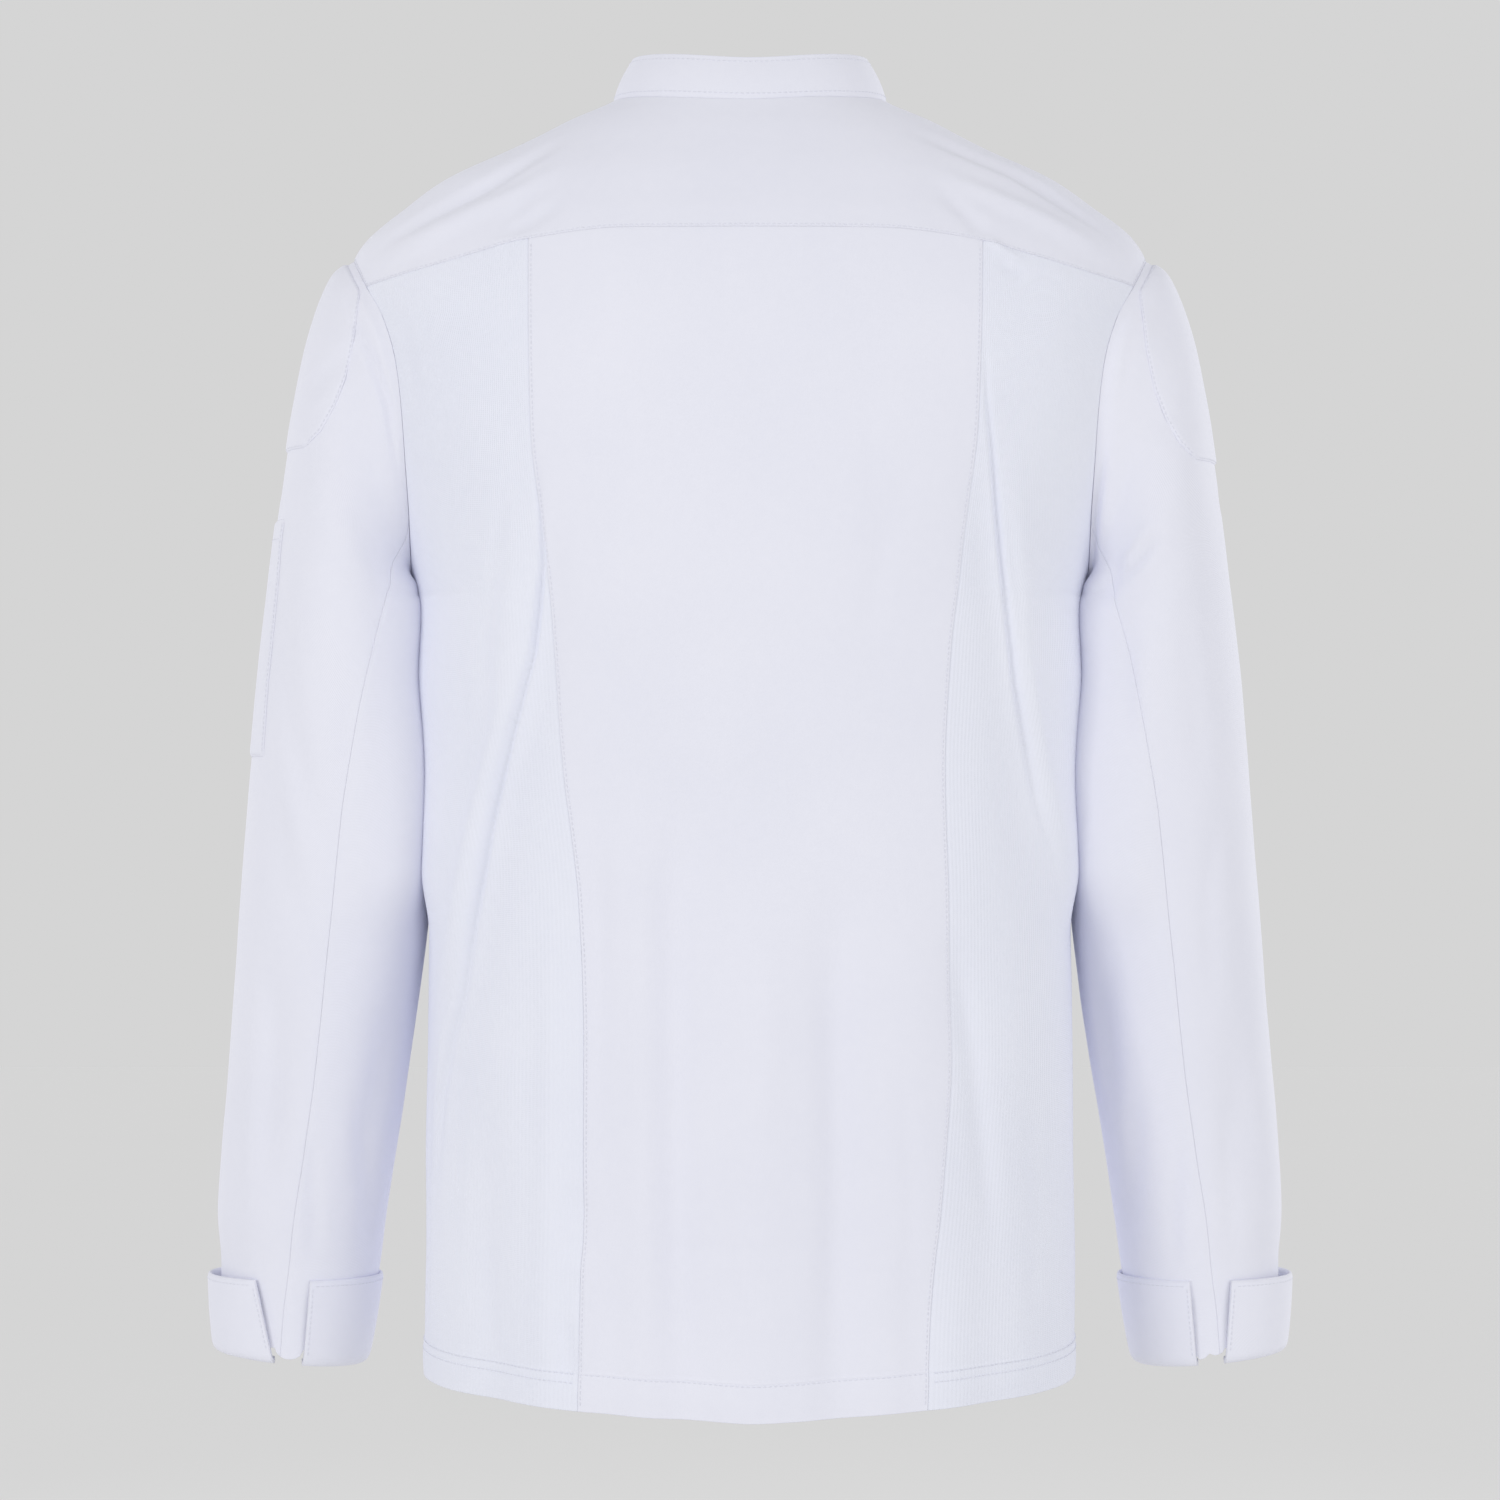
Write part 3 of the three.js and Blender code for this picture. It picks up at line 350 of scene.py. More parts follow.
# Creases, a row for each: the side it is seen from, how deep and how wide it is, and its path in
# that view, across and up. A negative depth is a ridge.
BODY_CREASES = [
    ("back", 3.4, 2.4, [
        (121, -195), (117, -273), (123, -324), (135, -369), (149, -425), (159, -479), (165, -520),
    ]),
    ("back", 2.8, 2.8, [(140, -385), (158, -479), (165, -520), (173, -548), (178, -580), (182, -650)]),
    ("back", -3.0, 6, [(129, -324), (143, -369), (157, -425), (167, -479), (176, -540)]),
    ("back", 3.2, 2.4, [(-132, -130), (-134, -184), (-143, -273), (-151, -341), (-163, -408), (-177, -463)]),
    ("back", -2.6, 6, [(-150, -273), (-159, -341), (-170, -408), (-183, -470)]),
    ("back", 1.7, 8, [(-113, -470), (-127, -552), (-135, -627), (-139, -677)]),
    ("back", 2.4, 12, [(100, -618), (96, -650), (97, -672)]),
    ("back", 2.2, 7, [(106, -692), (101, -742)]),
    ("back", -1.1, 5, [(92, -650), (90, -700), (92, -745)]),
    ("back", 1.4, 5, [(151, -640), (150, -690), (152, -728)]),
    ("back", 0.5, 7, [(90, -657), (20, -660), (-74, -658)]),
    ("back", 1.7, 6, [(104, -66), (124, -78), (146, -95)]),
    ("back", 1.0, 5, [(124, -66), (148, -84)]),
    ("back", 1.8, 6, [(-104, -58), (-122, -74), (-142, -95)]),
    ("back", -1.5, 4, [(-130, -84), (-144, -97), (-158, -104)]),
    ("back", 1.2, 5, [(-140, -100), (-158, -113)]),
    ("back", 3.4, 4.5, [(228, -96), (190, -75), (153, -57), (99, -23)]),
    ("back", -2.6, 6, [(226, -106), (189, -87), (160, -73), (129, -59), (99, -40)]),
    ("back", 3.4, 4.5, [(-228, -94), (-190, -70), (-151, -46), (-84, -20)]),
    ("back", -2.6, 6, [(-224, -104), (-189, -86), (-160, -72), (-97, -46)]),
    ("back", -1.2, 4, [(150, -92), (136, -89), (124, -84)]),
    ("back", 2.4, 9, [(86, -390), (87, -470), (88, -560), (89, -645)]),
    ("back", 4.4, 13, [(42, -380), (46, -470), (44, -600), (41, -745), (41, -790)]),
    ("back", 3.4, 13, [(-46, -430), (-49, -540), (-50, -640), (-46, -745), (-46, -790)]),
    ("back", -2.8, 16, [(-6, -440), (-6, -600), (-6, -745), (-6, -790)]),
    ("back", -1.8, 10, [(114, -440), (112, -560), (116, -680), (116, -790)]),
    ("back", 1.5, 6, [(206, -124), (196, -156), (190, -196)]),
    ("back", 0.5, 8, [(48, -130), (46, -240), (50, -350)]),
    ("back", 0.5, 8, [(-62, -160), (-72, -250), (-70, -330)]),
    ("back", 0.7, 9, [(-88, -210), (-76, -276), (-60, -330)]),
    ("back", 0.6, 7, [(66, -330), (62, -420), (70, -500)]),
    ("back", 0.9, 8, [(-12, -560), (-8, -640), (-14, -728)]),
    ("back", 0.8, 7, [(-84, -540), (-90, -620), (-88, -720)]),
    ("back", 1.2, 6, [(136, -215), (142, -260), (150, -330), (148, -390)]),
    ("back", 1.0, 6, [(-142, -230), (-152, -300), (-166, -360)]),
    ("back", 1.0, 6, [(172, -520), (168, -600), (172, -700)]),
    ("back", 1.1, 6, [(-160, -560), (-164, -640), (-160, -728)]),
    ("front", 1.8, 9, [(150, -180), (128, -230), (112, -300)]),
    ("front", 1.6, 8, [(-156, -176), (-130, -226), (-118, -290)]),
    ("front", 1.6, 8, [(160, -560), (150, -640), (152, -728)]),
    ("front", 1.8, 8, [(-134, -520), (-146, -620), (-140, -728)]),
    ("front", 1.0, 6, [(96, -76), (118, -96), (136, -126)]),
    ("front", 1.1, 6, [(-100, -74), (-124, -96), (-138, -130)]),
    ("front", 0.9, 7, [(20, -420), (30, -540), (22, -660)]),
    ("front", 0.9, 7, [(84, -330), (72, -430), (76, -520)]),
    ("front", 1.0, 7, [(-84, -380), (-72, -470), (-80, -560)]),
    ("front", -1.4, 5, [(210, -124), (201, -160), (198, -210)]),
    ("front", -1.4, 5, [(-212, -122), (-202, -158), (-198, -212)]),
    ("left", 1.3, 8, [(-20, -330), (10, -400), (4, -480)]),
    ("left", 1.2, 7, [(40, -540), (30, -640), (36, -740)]),
    ("right", 1.3, 8, [(24, -320), (-4, -390), (6, -470)]),
    ("right", 1.2, 7, [(-30, -560), (-24, -650), (-34, -740)]),
]
SLEEVE_CREASES = {
    1: [
        ("back", 1.9, 9, [(275, -247), (269, -339), (256, -409), (250, -467)]),
        ("back", 1.9, 8, [(280, -490), (279, -560), (282, -648)]),
        ("back", 1.7, 6, [(254, -596), (256, -690)]),
        ("back", 1.9, 7, [(228, -572), (224, -640), (226, -695)]),
        ("back", 1.4, 8, [(262, -180), (238, -160), (212, -140)]),
        ("back", 1.1, 9, [(266, -214), (238, -212), (208, -222)]),
        ("back", -1.8, 3.5, [(232, -98), (222, -124), (213, -142), (207, -164)]),
        ("back", 2.8, 4, [(238, -112), (228, -134), (215, -158), (206, -184), (202, -222)]),
        ("back", 1.0, 6, [(224, -330), (232, -366), (230, -410)]),
        ("back", 0.9, 6, [(300, -560), (302, -640), (304, -690)]),
        ("front", 1.6, 8, [(258, -250), (236, -286), (214, -300)]),
        ("front", 1.4, 7, [(250, -340), (230, -360), (208, -366)]),
        ("front", 1.7, 8, [(270, -420), (276, -520), (272, -620)]),
        ("front", 1.5, 7, [(240, -560), (244, -640), (240, -700)]),
        ("left", 1.3, 8, [(-10, -420), (-22, -500), (-30, -600)]),
        ("left", 1.1, 7, [(-44, -560), (-48, -640), (-44, -700)]),
        ("left", 0.9, 7, [(20, -225), (-10, -236), (-36, -228)]),
    ],
    -1: [
        ("back", 2.2, 4.5, [(-205, -300), (-209, -284), (-212, -264)]),
        ("back", 2.0, 4.5, [(-211, -284), (-221, -272), (-236, -256)]),
        ("back", -1.5, 4, [(-206, -276), (-216, -268), (-228, -252)]),
        ("back", 1.4, 6, [(-206, -140), (-218, -126), (-232, -118)]),
        ("back", 3.0, 5, [(-201, -196), (-199, -224), (-197, -256), (-195, -300)]),
        ("back", -1.6, 5, [(-207, -214), (-206, -236), (-203, -262)]),
        ("back", -1.4, 5, [(-226, -120), (-212, -146), (-206, -190)]),
        ("back", 1.1, 9, [(-246, -282), (-252, -340), (-262, -412)]),
        ("back", 1.3, 7, [(-270, -400), (-264, -470), (-270, -540)]),
        ("back", 1.6, 7, [(-224, -560), (-226, -620), (-222, -690)]),
        ("back", 1.5, 6, [(-250, -600), (-248, -650), (-250, -694)]),
        ("back", 1.4, 7, [(-276, -575), (-280, -630), (-285, -692)]),
        ("back", 1.5, 7, [(-198, -500), (-206, -550), (-216, -604)]),
        ("back", 1.1, 8, [(-264, -186), (-240, -196), (-212, -190)]),
        ("front", 1.6, 8, [(-260, -246), (-236, -280), (-212, -296)]),
        ("front", 1.4, 7, [(-252, -350), (-230, -366), (-206, -372)]),
        ("front", 1.7, 8, [(-272, -430), (-276, -530), (-270, -630)]),
        ("front", 1.5, 7, [(-242, -550), (-246, -640), (-240, -700)]),
        ("right", 1.3, 8, [(-6, -430), (-20, -510), (-28, -610)]),
        ("right", 1.1, 7, [(-46, -560), (-50, -640), (-46, -700)]),
        ("right", 0.9, 7, [(24, -230), (-6, -240), (-34, -234)]),
    ],
}
# For each side: the axis that faces it, which way, and the axis across its view
FACES = {"back": (1, 1, 0), "front": (1, -1, 0), "left": (0, 1, 1), "right": (0, -1, 1)}
CREASE_FADE = 0.35  # the share of its length over which each end of a crease fades
CREASE_FACING, CREASE_SHOULDERS = 0.2, 0.7


def crease_height(creases, p, normal):
    """The height of soft creases, each seen from one side: a trough between two low shoulders."""
    height = np.zeros(p.shape[:-1])
    for face, depth, width, path in creases:
        axis, sign, across = FACES[face]
        u, v = p[..., across], p[..., 2]
        points = np.array(path, dtype=float)
        lengths = np.linalg.norm(np.diff(points, axis=0), axis=1)
        near = (np.abs(u - points[:, 0].mean()) < np.ptp(points[:, 0]) / 2 + 3 * width) \
            & (np.abs(v - points[:, 1].mean()) < np.ptp(points[:, 1]) / 2 + 3 * width)
        if not near.any():
            continue
        un, vn = u[near], v[near]
        best, place, run = np.full(un.shape, 1e9), np.zeros(un.shape), 0.0
        for a, b, length in zip(points[:-1], points[1:], lengths):
            d = (b - a) / length
            t = np.clip((un - a[0]) * d[0] + (vn - a[1]) * d[1], 0, length)
            distance = np.hypot(un - a[0] - t * d[0], vn - a[1] - t * d[1])
            closer = distance < best
            best = np.where(closer, distance, best)
            place = np.where(closer, run + t, place)
            run += length
        fade = ease(place / (CREASE_FADE * run)) * ease((run - place) / (CREASE_FADE * run))
        facing = ease(sign * normal[..., axis][near] / CREASE_FACING)
        q = (best / width) ** 2
        height[near] -= depth * np.exp(-q) * (1 - CREASE_SHOULDERS * q) * fade * facing
    return height


# Cloth is never quite even: a sum of gentle waves in seeded directions
WAVE_COUNT, WAVE_HEIGHT = 18, 0.0011
waves = np.random.RandomState(11)
WAVE_LENGTHS = waves.uniform(34, 120, WAVE_COUNT)
WAVE_WAYS = unit(waves.normal(size=(WAVE_COUNT, 3)) * (1, 1, 0.55)) * (2 * np.pi / WAVE_LENGTHS)[:, None]
WAVE_STARTS = waves.uniform(0, 2 * np.pi, WAVE_COUNT)


def unevenness(p):
    height = 0
    for way, start, length in zip(WAVE_WAYS, WAVE_STARTS, WAVE_LENGTHS):
        height = height + np.sin(p @ way + start) * length * WAVE_HEIGHT
    return height


# Below the underarm, sleeve and body swell a little toward each other and meet
MEET_Y, MEET_WIDTH = 35.0, 21.0
MEET_TOP_Z, MEET_TOP_RUN, MEET_END_Z, MEET_END_RUN = -268, 16, -446, 46
MEET_HAIRLINE, MEET_MOST = 0.3, 17
BODY_SHARE, BODY_SHARE_Z, BODY_SHARE_RUN = 0.45, -284, 60


def meeting_gap(z):
    """How far apart the sleeve's and the body's sides are at the depth where they are to meet."""
    row = np.interp(z, SLEEVE["inZ"][::-1], SLEEVE["row"][::-1])
    section = {name: sleeve[name](row) for name in ("outX", "inX", "back", "y")}
    deep = np.sqrt(np.maximum(1 - ((MEET_Y - section["y"]) / section["back"]) ** 2, 0))
    sleeve_x = (section["outX"] + section["inX"]) / 2 - (section["outX"] - section["inX"]) / 2 * deep
    square = body["square"](z)
    body_x = body["half"](z) * (1 - (MEET_Y / body["back"](z)) ** square) ** (1 / square)
    beside = ease((MEET_TOP_Z - z) / MEET_TOP_RUN) * (1 - ease((MEET_END_Z - z) / MEET_END_RUN))
    return np.clip(sleeve_x - body_x - MEET_HAIRLINE, 0, MEET_MOST) * beside


def body_share(z):
    """How much of the way to the sleeve the body swells. The sleeve does the rest."""
    return BODY_SHARE * ease((BODY_SHARE_Z - z) / BODY_SHARE_RUN)


def meeting_bump(y):
    return np.exp(-((y - MEET_Y) / MEET_WIDTH) ** 2)


def worn(p, more=0):
    """Lifts points of the body's face by its folds and creases, and by more where that is asked."""
    normal = body_normal(p)
    x, y, z = p[..., 0], p[..., 1], p[..., 2]
    inside = ease((body["half"](z) - np.abs(x)) / 14) * ease((-100 - z) / 60)
    folds = np.where(y > 0, fold_height(BACK_FOLDS, x, z), fold_height(FRONT_FOLDS, x, z))
    armhole = np.where(z > UNDERARM_Z, ease((armhole_x(z) - np.abs(x)) / 14), 1)
    more = more + meeting_gap(z) * body_share(z) * meeting_bump(y)
    height = folds * inside + (crease_height(BODY_CREASES, p, normal) + unevenness(p)) * armhole + more
    return p + normal * height[..., None], normal


# Shells
def arc(points, axis):
    """How far along a grid's rows or columns each point is."""
    steps = np.linalg.norm(np.diff(points, axis=axis), axis=-1)
    return np.insert(np.cumsum(steps, axis=axis), 0, 0, axis=axis)


def from_edges(points):
    """The distance of each point of a grid from its four edges, and its place along them."""
    up, across = arc(points, 0), arc(points, 1)
    return {
        "low": (up, across),
        "high": (up[-1:] - up, across),
        "start": (across, up),
        "end": (across[:, -1:] - across, up),
    }


STITCH_IN = 1.5  # topstitching lies this far in from a seam
ROLL_WIDTH = 3
DRAWN_IN, DRAWN_WIDTH, PUCKER, PUCKER_WIDTH = 0.13, 0.55, 0.07, 5


def rolled(points, normals, stitched=(), **depths):
    """Turns a shell's edges down into its seams, each by its own depth over ROLL_WIDTH.

    The cloth is drawn in along a stitched edge, and puckers a little beside it."""
    drop = 0
    for edge, (distance, along) in from_edges(points).items():
        drop = drop + depths.get(edge, 0) * (1 - np.clip(distance / ROLL_WIDTH, 0, 1)) ** 2
        if edge in stitched:
            short = np.sin(along / 1.9 + 2 * np.sin(along / 23))
            pucker = short + np.sin(along / 3.1 + 1.3 * np.sin(along / 31))
            drop = drop + DRAWN_IN * np.exp(-((distance - STITCH_IN) / DRAWN_WIDTH) ** 2)
            drop = drop + PUCKER * pucker * np.exp(-(distance / PUCKER_WIDTH) ** 2) * ease(distance)
    return points - normals * drop[..., None]


OVER_SEAT = SEAM + OVERLAY  # how far an overlay's outer face is above the cloth under it
OVERLAY_FULL, PRESSED = OVER_SEAT - 0.03, 0.08  # its thickness in the middle and at its edges


def pressed(points, normals, edges):
    """Thins an overlay toward its stitched edges. Its inner face stays where it is."""
    made = rolled(points, normals, edges, **{edge: OVERLAY_FULL - PRESSED for edge in ("low", *edges)})
    drop = ((points - made) * normals).sum(axis=-1)
    return made, np.maximum(OVERLAY_FULL - drop, PRESSED)[..., None]


# Topstitching: short stitches in rows, joined into one mesh for each part of the jacket
STITCH_LENGTH, STITCH_PITCH, STITCH_RADIUS = 2.3, 3.1, 0.27
STITCH_SKIP = 3.0  # how far from its ends a row of stitches stops
STITCH_SIDES = 5
# A stitch's rings: how far along it, how wide, and how high
STITCH_RINGS = [(-0.5, 0.35, -0.5), (-0.3, 1, 0.35), (0.3, 1, 0.35), (0.5, 0.35, -0.5)]
stitch_parts = {}


def offset_line(points, normals, edge, distance):
    """The line that runs beside an edge of a grid, so far in, with its normals."""
    away, _ = from_edges(points)[edge]
    if edge in ("start", "end"):
        away, points, normals = away.T, points.transpose(1, 0, 2), normals.transpose(1, 0, 2)
    if edge in ("high", "end"):
        away, points, normals = away[::-1], points[::-1], normals[::-1]
    i = np.clip((away < distance).sum(axis=0), 1, len(away) - 1)
    j = np.arange(away.shape[1])
    low, high = away[i - 1, j], away[i, j]
    t = np.clip((distance - low) / np.maximum(high - low, 1e-6), 0, 1)[:, None]
    return lerp(points[i - 1, j], points[i, j], t), unit(lerp(normals[i - 1, j], normals[i, j], t))


def stitch_row(part, line, normals):
    """Adds a row of stitches along a line."""
    place = np.insert(np.cumsum(np.linalg.norm(np.diff(line, axis=0), axis=1)), 0, 0)
    if place[-1] < 2 * STITCH_SKIP + STITCH_PITCH:
        return
    count = int((place[-1] - 2 * STITCH_SKIP) // STITCH_PITCH)
    middles = STITCH_SKIP + (np.arange(count) + 0.5) * STITCH_PITCH

    def at(s, values):
        return np.stack([np.interp(s, place, values[:, k]) for k in range(3)], axis=-1)

    centre = at(middles, line)
    normal = unit(at(middles, normals))
    along = unit(at(middles + 0.8, line) - at(middles - 0.8, line))
    side = np.cross(normal, along)
    angles = np.radians(np.arange(STITCH_SIDES) * 360 / STITCH_SIDES)[:, None, None]
    circle = np.cos(angles) * side + np.sin(angles) * normal
    rings = []
    for share, radius, rise in STITCH_RINGS:
        middle = centre + along * share * STITCH_LENGTH + normal * (rise * STITCH_RADIUS)
        rings.append(middle + circle * radius * STITCH_RADIUS)
    stitch_parts.setdefault(part, []).append(np.stack(rings).transpose(2, 0, 1, 3))


def stitch_edge(part, points, normals, edge, distance=STITCH_IN):
    stitch_row(part, *offset_line(points, normals, edge, distance))


def add_stitches():
    """Makes one mesh of the stitches of each part."""
    size = STITCH_SIDES * len(STITCH_RINGS)
    corner = np.arange(STITCH_SIDES)
    after = (corner + 1) % STITCH_SIDES
    one_ring = np.stack([corner, after, after + STITCH_SIDES, corner + STITCH_SIDES], axis=-1)
    last = size - STITCH_SIDES
    tube = np.concatenate([one_ring + first for first in range(0, last, STITCH_SIDES)])
    for part, groups in stitch_parts.items():
        stitches = np.concatenate(groups).reshape(-1, size, 3)
        start = (np.arange(len(stitches)) * size)[:, None, None]
        faces = (tube[None] + start).reshape(-1, 4).tolist()
        for first in start.ravel().tolist():
            faces.append([first + k for k in corner[::-1].tolist()])
            faces.append([first + last + k for k in corner.tolist()])
        made = mesh_object(f"stitches_{part}", stitches.reshape(-1, 3), faces, None, thread)


CLOSED = 0.01  # half of the hairline that shows between two pieces


def trimmed(points, low=CLOSED, high=CLOSED):
    """Takes a grid's edges in, so that two pieces meet in a hairline."""
    out = points.copy()
    for edge, inner, by in [((0,), (1,), low), ((-1,), (-2,), high)]:
        step = unit(points[inner] - points[edge])
        out[edge] = points[edge] + step * by
    made = out.copy()
    for edge, inner in [(0, 1), (-1, -2)]:
        made[:, edge] = out[:, edge] + unit(out[:, inner] - out[:, edge]) * CLOSED
    return made


def mesh_object(name, vertices, faces, uv, material):
    mesh = bpy.data.meshes.new(name)
    mesh.from_pydata((np.asarray(vertices) * MM).tolist(), [], faces)
    mesh.polygons.foreach_set("use_smooth", np.ones(len(mesh.polygons), dtype=bool))
    if uv is not None:
        corner = np.empty(len(mesh.loops), dtype=np.int32)
        mesh.loops.foreach_get("vertex_index", corner)
        layer = mesh.uv_layers.new(name="cloth_mm")
        layer.data.foreach_set("uv", np.asarray(uv, dtype=np.float32)[corner].ravel())
    mesh.materials.append(material)
    mesh.update()
    made = bpy.data.objects.new(name, mesh)
    bpy.context.collection.objects.link(made)
    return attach(made, "root")


def quads(index):
    """The faces between the points of a grid of vertex numbers."""
    a, b, c, d = index[:-1, :-1], index[:-1, 1:], index[1:, 1:], index[1:, :-1]
    return np.stack([a, b, c, d], axis=-1).reshape(-1, 4)


def shell(name, outer, normals, thickness, material, every=1):
    """A closed wall on a grid of outer points. Its inner face keeps every so many columns."""
    high, wide = outer.shape[:2]
    columns = np.arange(0, wide, every)
    if columns[-1] != wide - 1:
        columns = np.append(columns, wide - 1)
    thickness = np.broadcast_to(thickness, (*outer.shape[:2], 1))
    inner = outer[:, columns] - normals[:, columns] * thickness[:, columns]
    vertices = np.concatenate([outer.reshape(-1, 3), inner.reshape(-1, 3)])
    uv = np.stack([arc(outer, 1), arc(outer, 0)], axis=-1)
    uv = np.concatenate([uv.reshape(-1, 2), uv[:, columns].reshape(-1, 2)])
    face = np.arange(high * wide).reshape(high, wide)
    back = high * wide + np.arange(high * len(columns)).reshape(high, len(columns))
    middle = (high // 2, wide // 2)
    across = outer[middle[0], middle[1] + 1] - outer[middle]
    along = outer[middle[0] + 1, middle[1]] - outer[middle]
    out = np.dot(np.cross(across, along), normals[middle]) > 0
    front = quads(face)
    behind = quads(back)[:, ::-1]
    sides = [
        quads(np.stack([back[:, 0], face[:, 0]], axis=1)),
        quads(np.stack([face[:, -1], back[:, -1]], axis=1)),
    ]
    faces = np.concatenate([front, behind, *sides]).tolist()
    for j, (a, b) in enumerate(zip(columns[:-1], columns[1:])):
        faces.append([back[0, j], back[0, j + 1], *face[0, b:a - 1 if a else None:-1]])
        faces.append([back[-1, j + 1], back[-1, j], *face[-1, a:b + 1]])
    if not out:
        faces = [f[::-1] for f in faces]
    return mesh_object(name, vertices, faces, uv, material)


def piece(made, node):
    """Hides the imported part of the node that a piece stands for."""
    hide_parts(node)
    return made


def cloth_piece(made, node, grid):
    """Hides a shell's imported part, and works out the size and area its grid of points has when flat;
    nothing uses them.
    """
    piece(made, node)
    up, across = arc(grid, 0), arc(grid, 1)
    cells = np.cross(grid[1:, 1:] - grid[:-1, :-1], grid[1:, :-1] - grid[:-1, 1:])
    area = np.linalg.norm(cells, axis=-1).sum() / 2 * MM * MM
    width, length = float(across.max() * MM), float(up.max() * MM)
    area = float(min(area, width * length))
    return made


# Materials
class Nodes:
    """Adds nodes to a material, each joined to the ones before it."""

    def __init__(self, name):
        self.material = bpy.data.materials.new(name)
        self.material.use_nodes = True
        self.tree = self.material.node_tree
        self.shader = self.tree.nodes["Principled BSDF"]

    def add(self, kind, inputs=None, **settings):
        node = self.tree.nodes.new(kind)
        for key, value in settings.items():
            setattr(node, key, value)
        for key, value in (inputs or {}).items():
            self.set(node.inputs[key], value)
        return node

    def set(self, socket, value):
        if isinstance(value, bpy.types.NodeSocket):
            self.tree.links.new(value, socket)
        else:
            socket.default_value = value

    def noise(self, places, scale, detail):
        inputs = {"Vector": places, "Scale": scale, "Detail": detail}
        return self.add("ShaderNodeTexNoise", inputs).outputs["Fac"]

    def tint(self, factor, low, high, ends=(0.0, 1.0)):
        ramp = self.add("ShaderNodeValToRGB", {"Fac": factor})
        for element, place, colour in zip(ramp.color_ramp.elements, ends, (low, high)):
            element.position = place
            element.color = (*colour, 1)
        self.set(self.shader.inputs["Base Color"], ramp.outputs["Color"])

    def bump(self, height, strength, distance):
        inputs = {"Height": height, "Strength": strength, "Distance": distance}
        self.set(self.shader.inputs["Normal"], self.add("ShaderNodeBump", inputs).outputs["Normal"])

    def math(self, operation, a, b=0.0):
        node = self.add("ShaderNodeMath", operation=operation)
        self.set(node.inputs[0], a)
        self.set(node.inputs[1], b)
        return node.outputs[0]


def cloth_material(name, pale, deep, weave):
    """White cloth: a faint change of tone, a soft sheen, and its weave as bump."""
    nodes = Nodes(name)
    places = nodes.add("ShaderNodeTexCoord").outputs["Object"]
    tone = nodes.noise(places, 9.0, 3.0)
    blotch = nodes.noise(places, 160.0, 2.0)
    mixed = nodes.math("ADD", nodes.math("MULTIPLY", tone, 0.75), nodes.math("MULTIPLY", blotch, 0.25))
    nodes.tint(mixed, deep, pale, (0.3, 0.7))
    nodes.shader.inputs["Roughness"].default_value = 0.88
    nodes.shader.inputs["Specular IOR Level"].default_value = 0.25
    nodes.shader.inputs["Sheen Weight"].default_value = 0.12
    nodes.shader.inputs["Sheen Roughness"].default_value = 0.5
    uv = nodes.add("ShaderNodeUVMap", uv_map="cloth_mm").outputs["UV"]
    height = weave(nodes, uv)
    fuzz = nodes.noise(places, 2600.0, 2.0)
    height = nodes.math("ADD", height, nodes.math("MULTIPLY", fuzz, 0.5))
    nodes.bump(height, 0.35, 0.00012)
    return nodes.material


def twill_weave(nodes, uv):
    """Fine diagonal ridges, crossed by the single yarns."""
    parts = nodes.add("ShaderNodeSeparateXYZ", {"Vector": uv}).outputs
    slant = nodes.math("ADD", parts["X"], parts["Y"])
    ridge = nodes.math("SINE", nodes.math("MULTIPLY", slant, 2 * math.pi / 0.9))
    yarn = nodes.math("SINE", nodes.math("MULTIPLY", parts["X"], 2 * math.pi / 0.45))
    return nodes.math("ADD", nodes.math("MULTIPLY", ridge, 0.5), nodes.math("MULTIPLY", yarn, 0.2))


def knit_weave(nodes, uv):
    """The small loops up each rib."""
    parts = nodes.add("ShaderNodeSeparateXYZ", {"Vector": uv}).outputs
    loop = nodes.math("SINE", nodes.math("MULTIPLY", parts["Y"], 2 * math.pi / 1.1))
    return nodes.math("MULTIPLY", loop, 0.5)


def cap_material():
    nodes = Nodes("stud_cap")
    places = nodes.add("ShaderNodeTexCoord").outputs["Object"]
    wear = nodes.noise(places, 900.0, 4.0)
    nodes.set(nodes.shader.inputs["Roughness"], nodes.math("ADD", nodes.math("MULTIPLY", wear, 0.2), 0.3))
    nodes.tint(wear, (0.78, 0.79, 0.83), (0.86, 0.87, 0.9))
    nodes.bump(wear, 0.15, 0.0001)
    return nodes.material


def thread_material():
    nodes = Nodes("thread")
    places = nodes.add("ShaderNodeTexCoord").outputs["Object"]
    nodes.tint(nodes.noise(places, 3000.0, 2.0), (0.74, 0.75, 0.84), (0.82, 0.83, 0.9))
    nodes.shader.inputs["Roughness"].default_value = 0.6
    nodes.shader.inputs["Sheen Weight"].default_value = 0.1
    return nodes.material


twill = cloth_material("twill", (0.845, 0.85, 0.935), (0.815, 0.823, 0.915), twill_weave)
ribbed = cloth_material("ribbed_knit", (0.845, 0.86, 0.945), (0.81, 0.828, 0.925), knit_weave)
cap = cap_material()
thread = thread_material()

# Body panels
BACK_TOP = -112.0  # the level rows of the middle back end here, and those of the side backs below
SIDE_TOP = -130.0


HEM_STITCH = 20.6  # how far the hem's stitching is above the hem's edge
HEM_STITCH_PITCH = 5


def hem_lift(up):
    """The turned hem stands proud, is drawn in along its stitching and bulges softly below it."""
    step = HEM_RISE * (1 - ease((up - HEM_DEPTH + 0.7) / 1.4))
    bulge = 0.5 * np.exp(-((up - 10) / 7) ** 2)
    return step + bulge - 0.35 * np.exp(-((up - HEM_STITCH) / 0.6) ** 2)


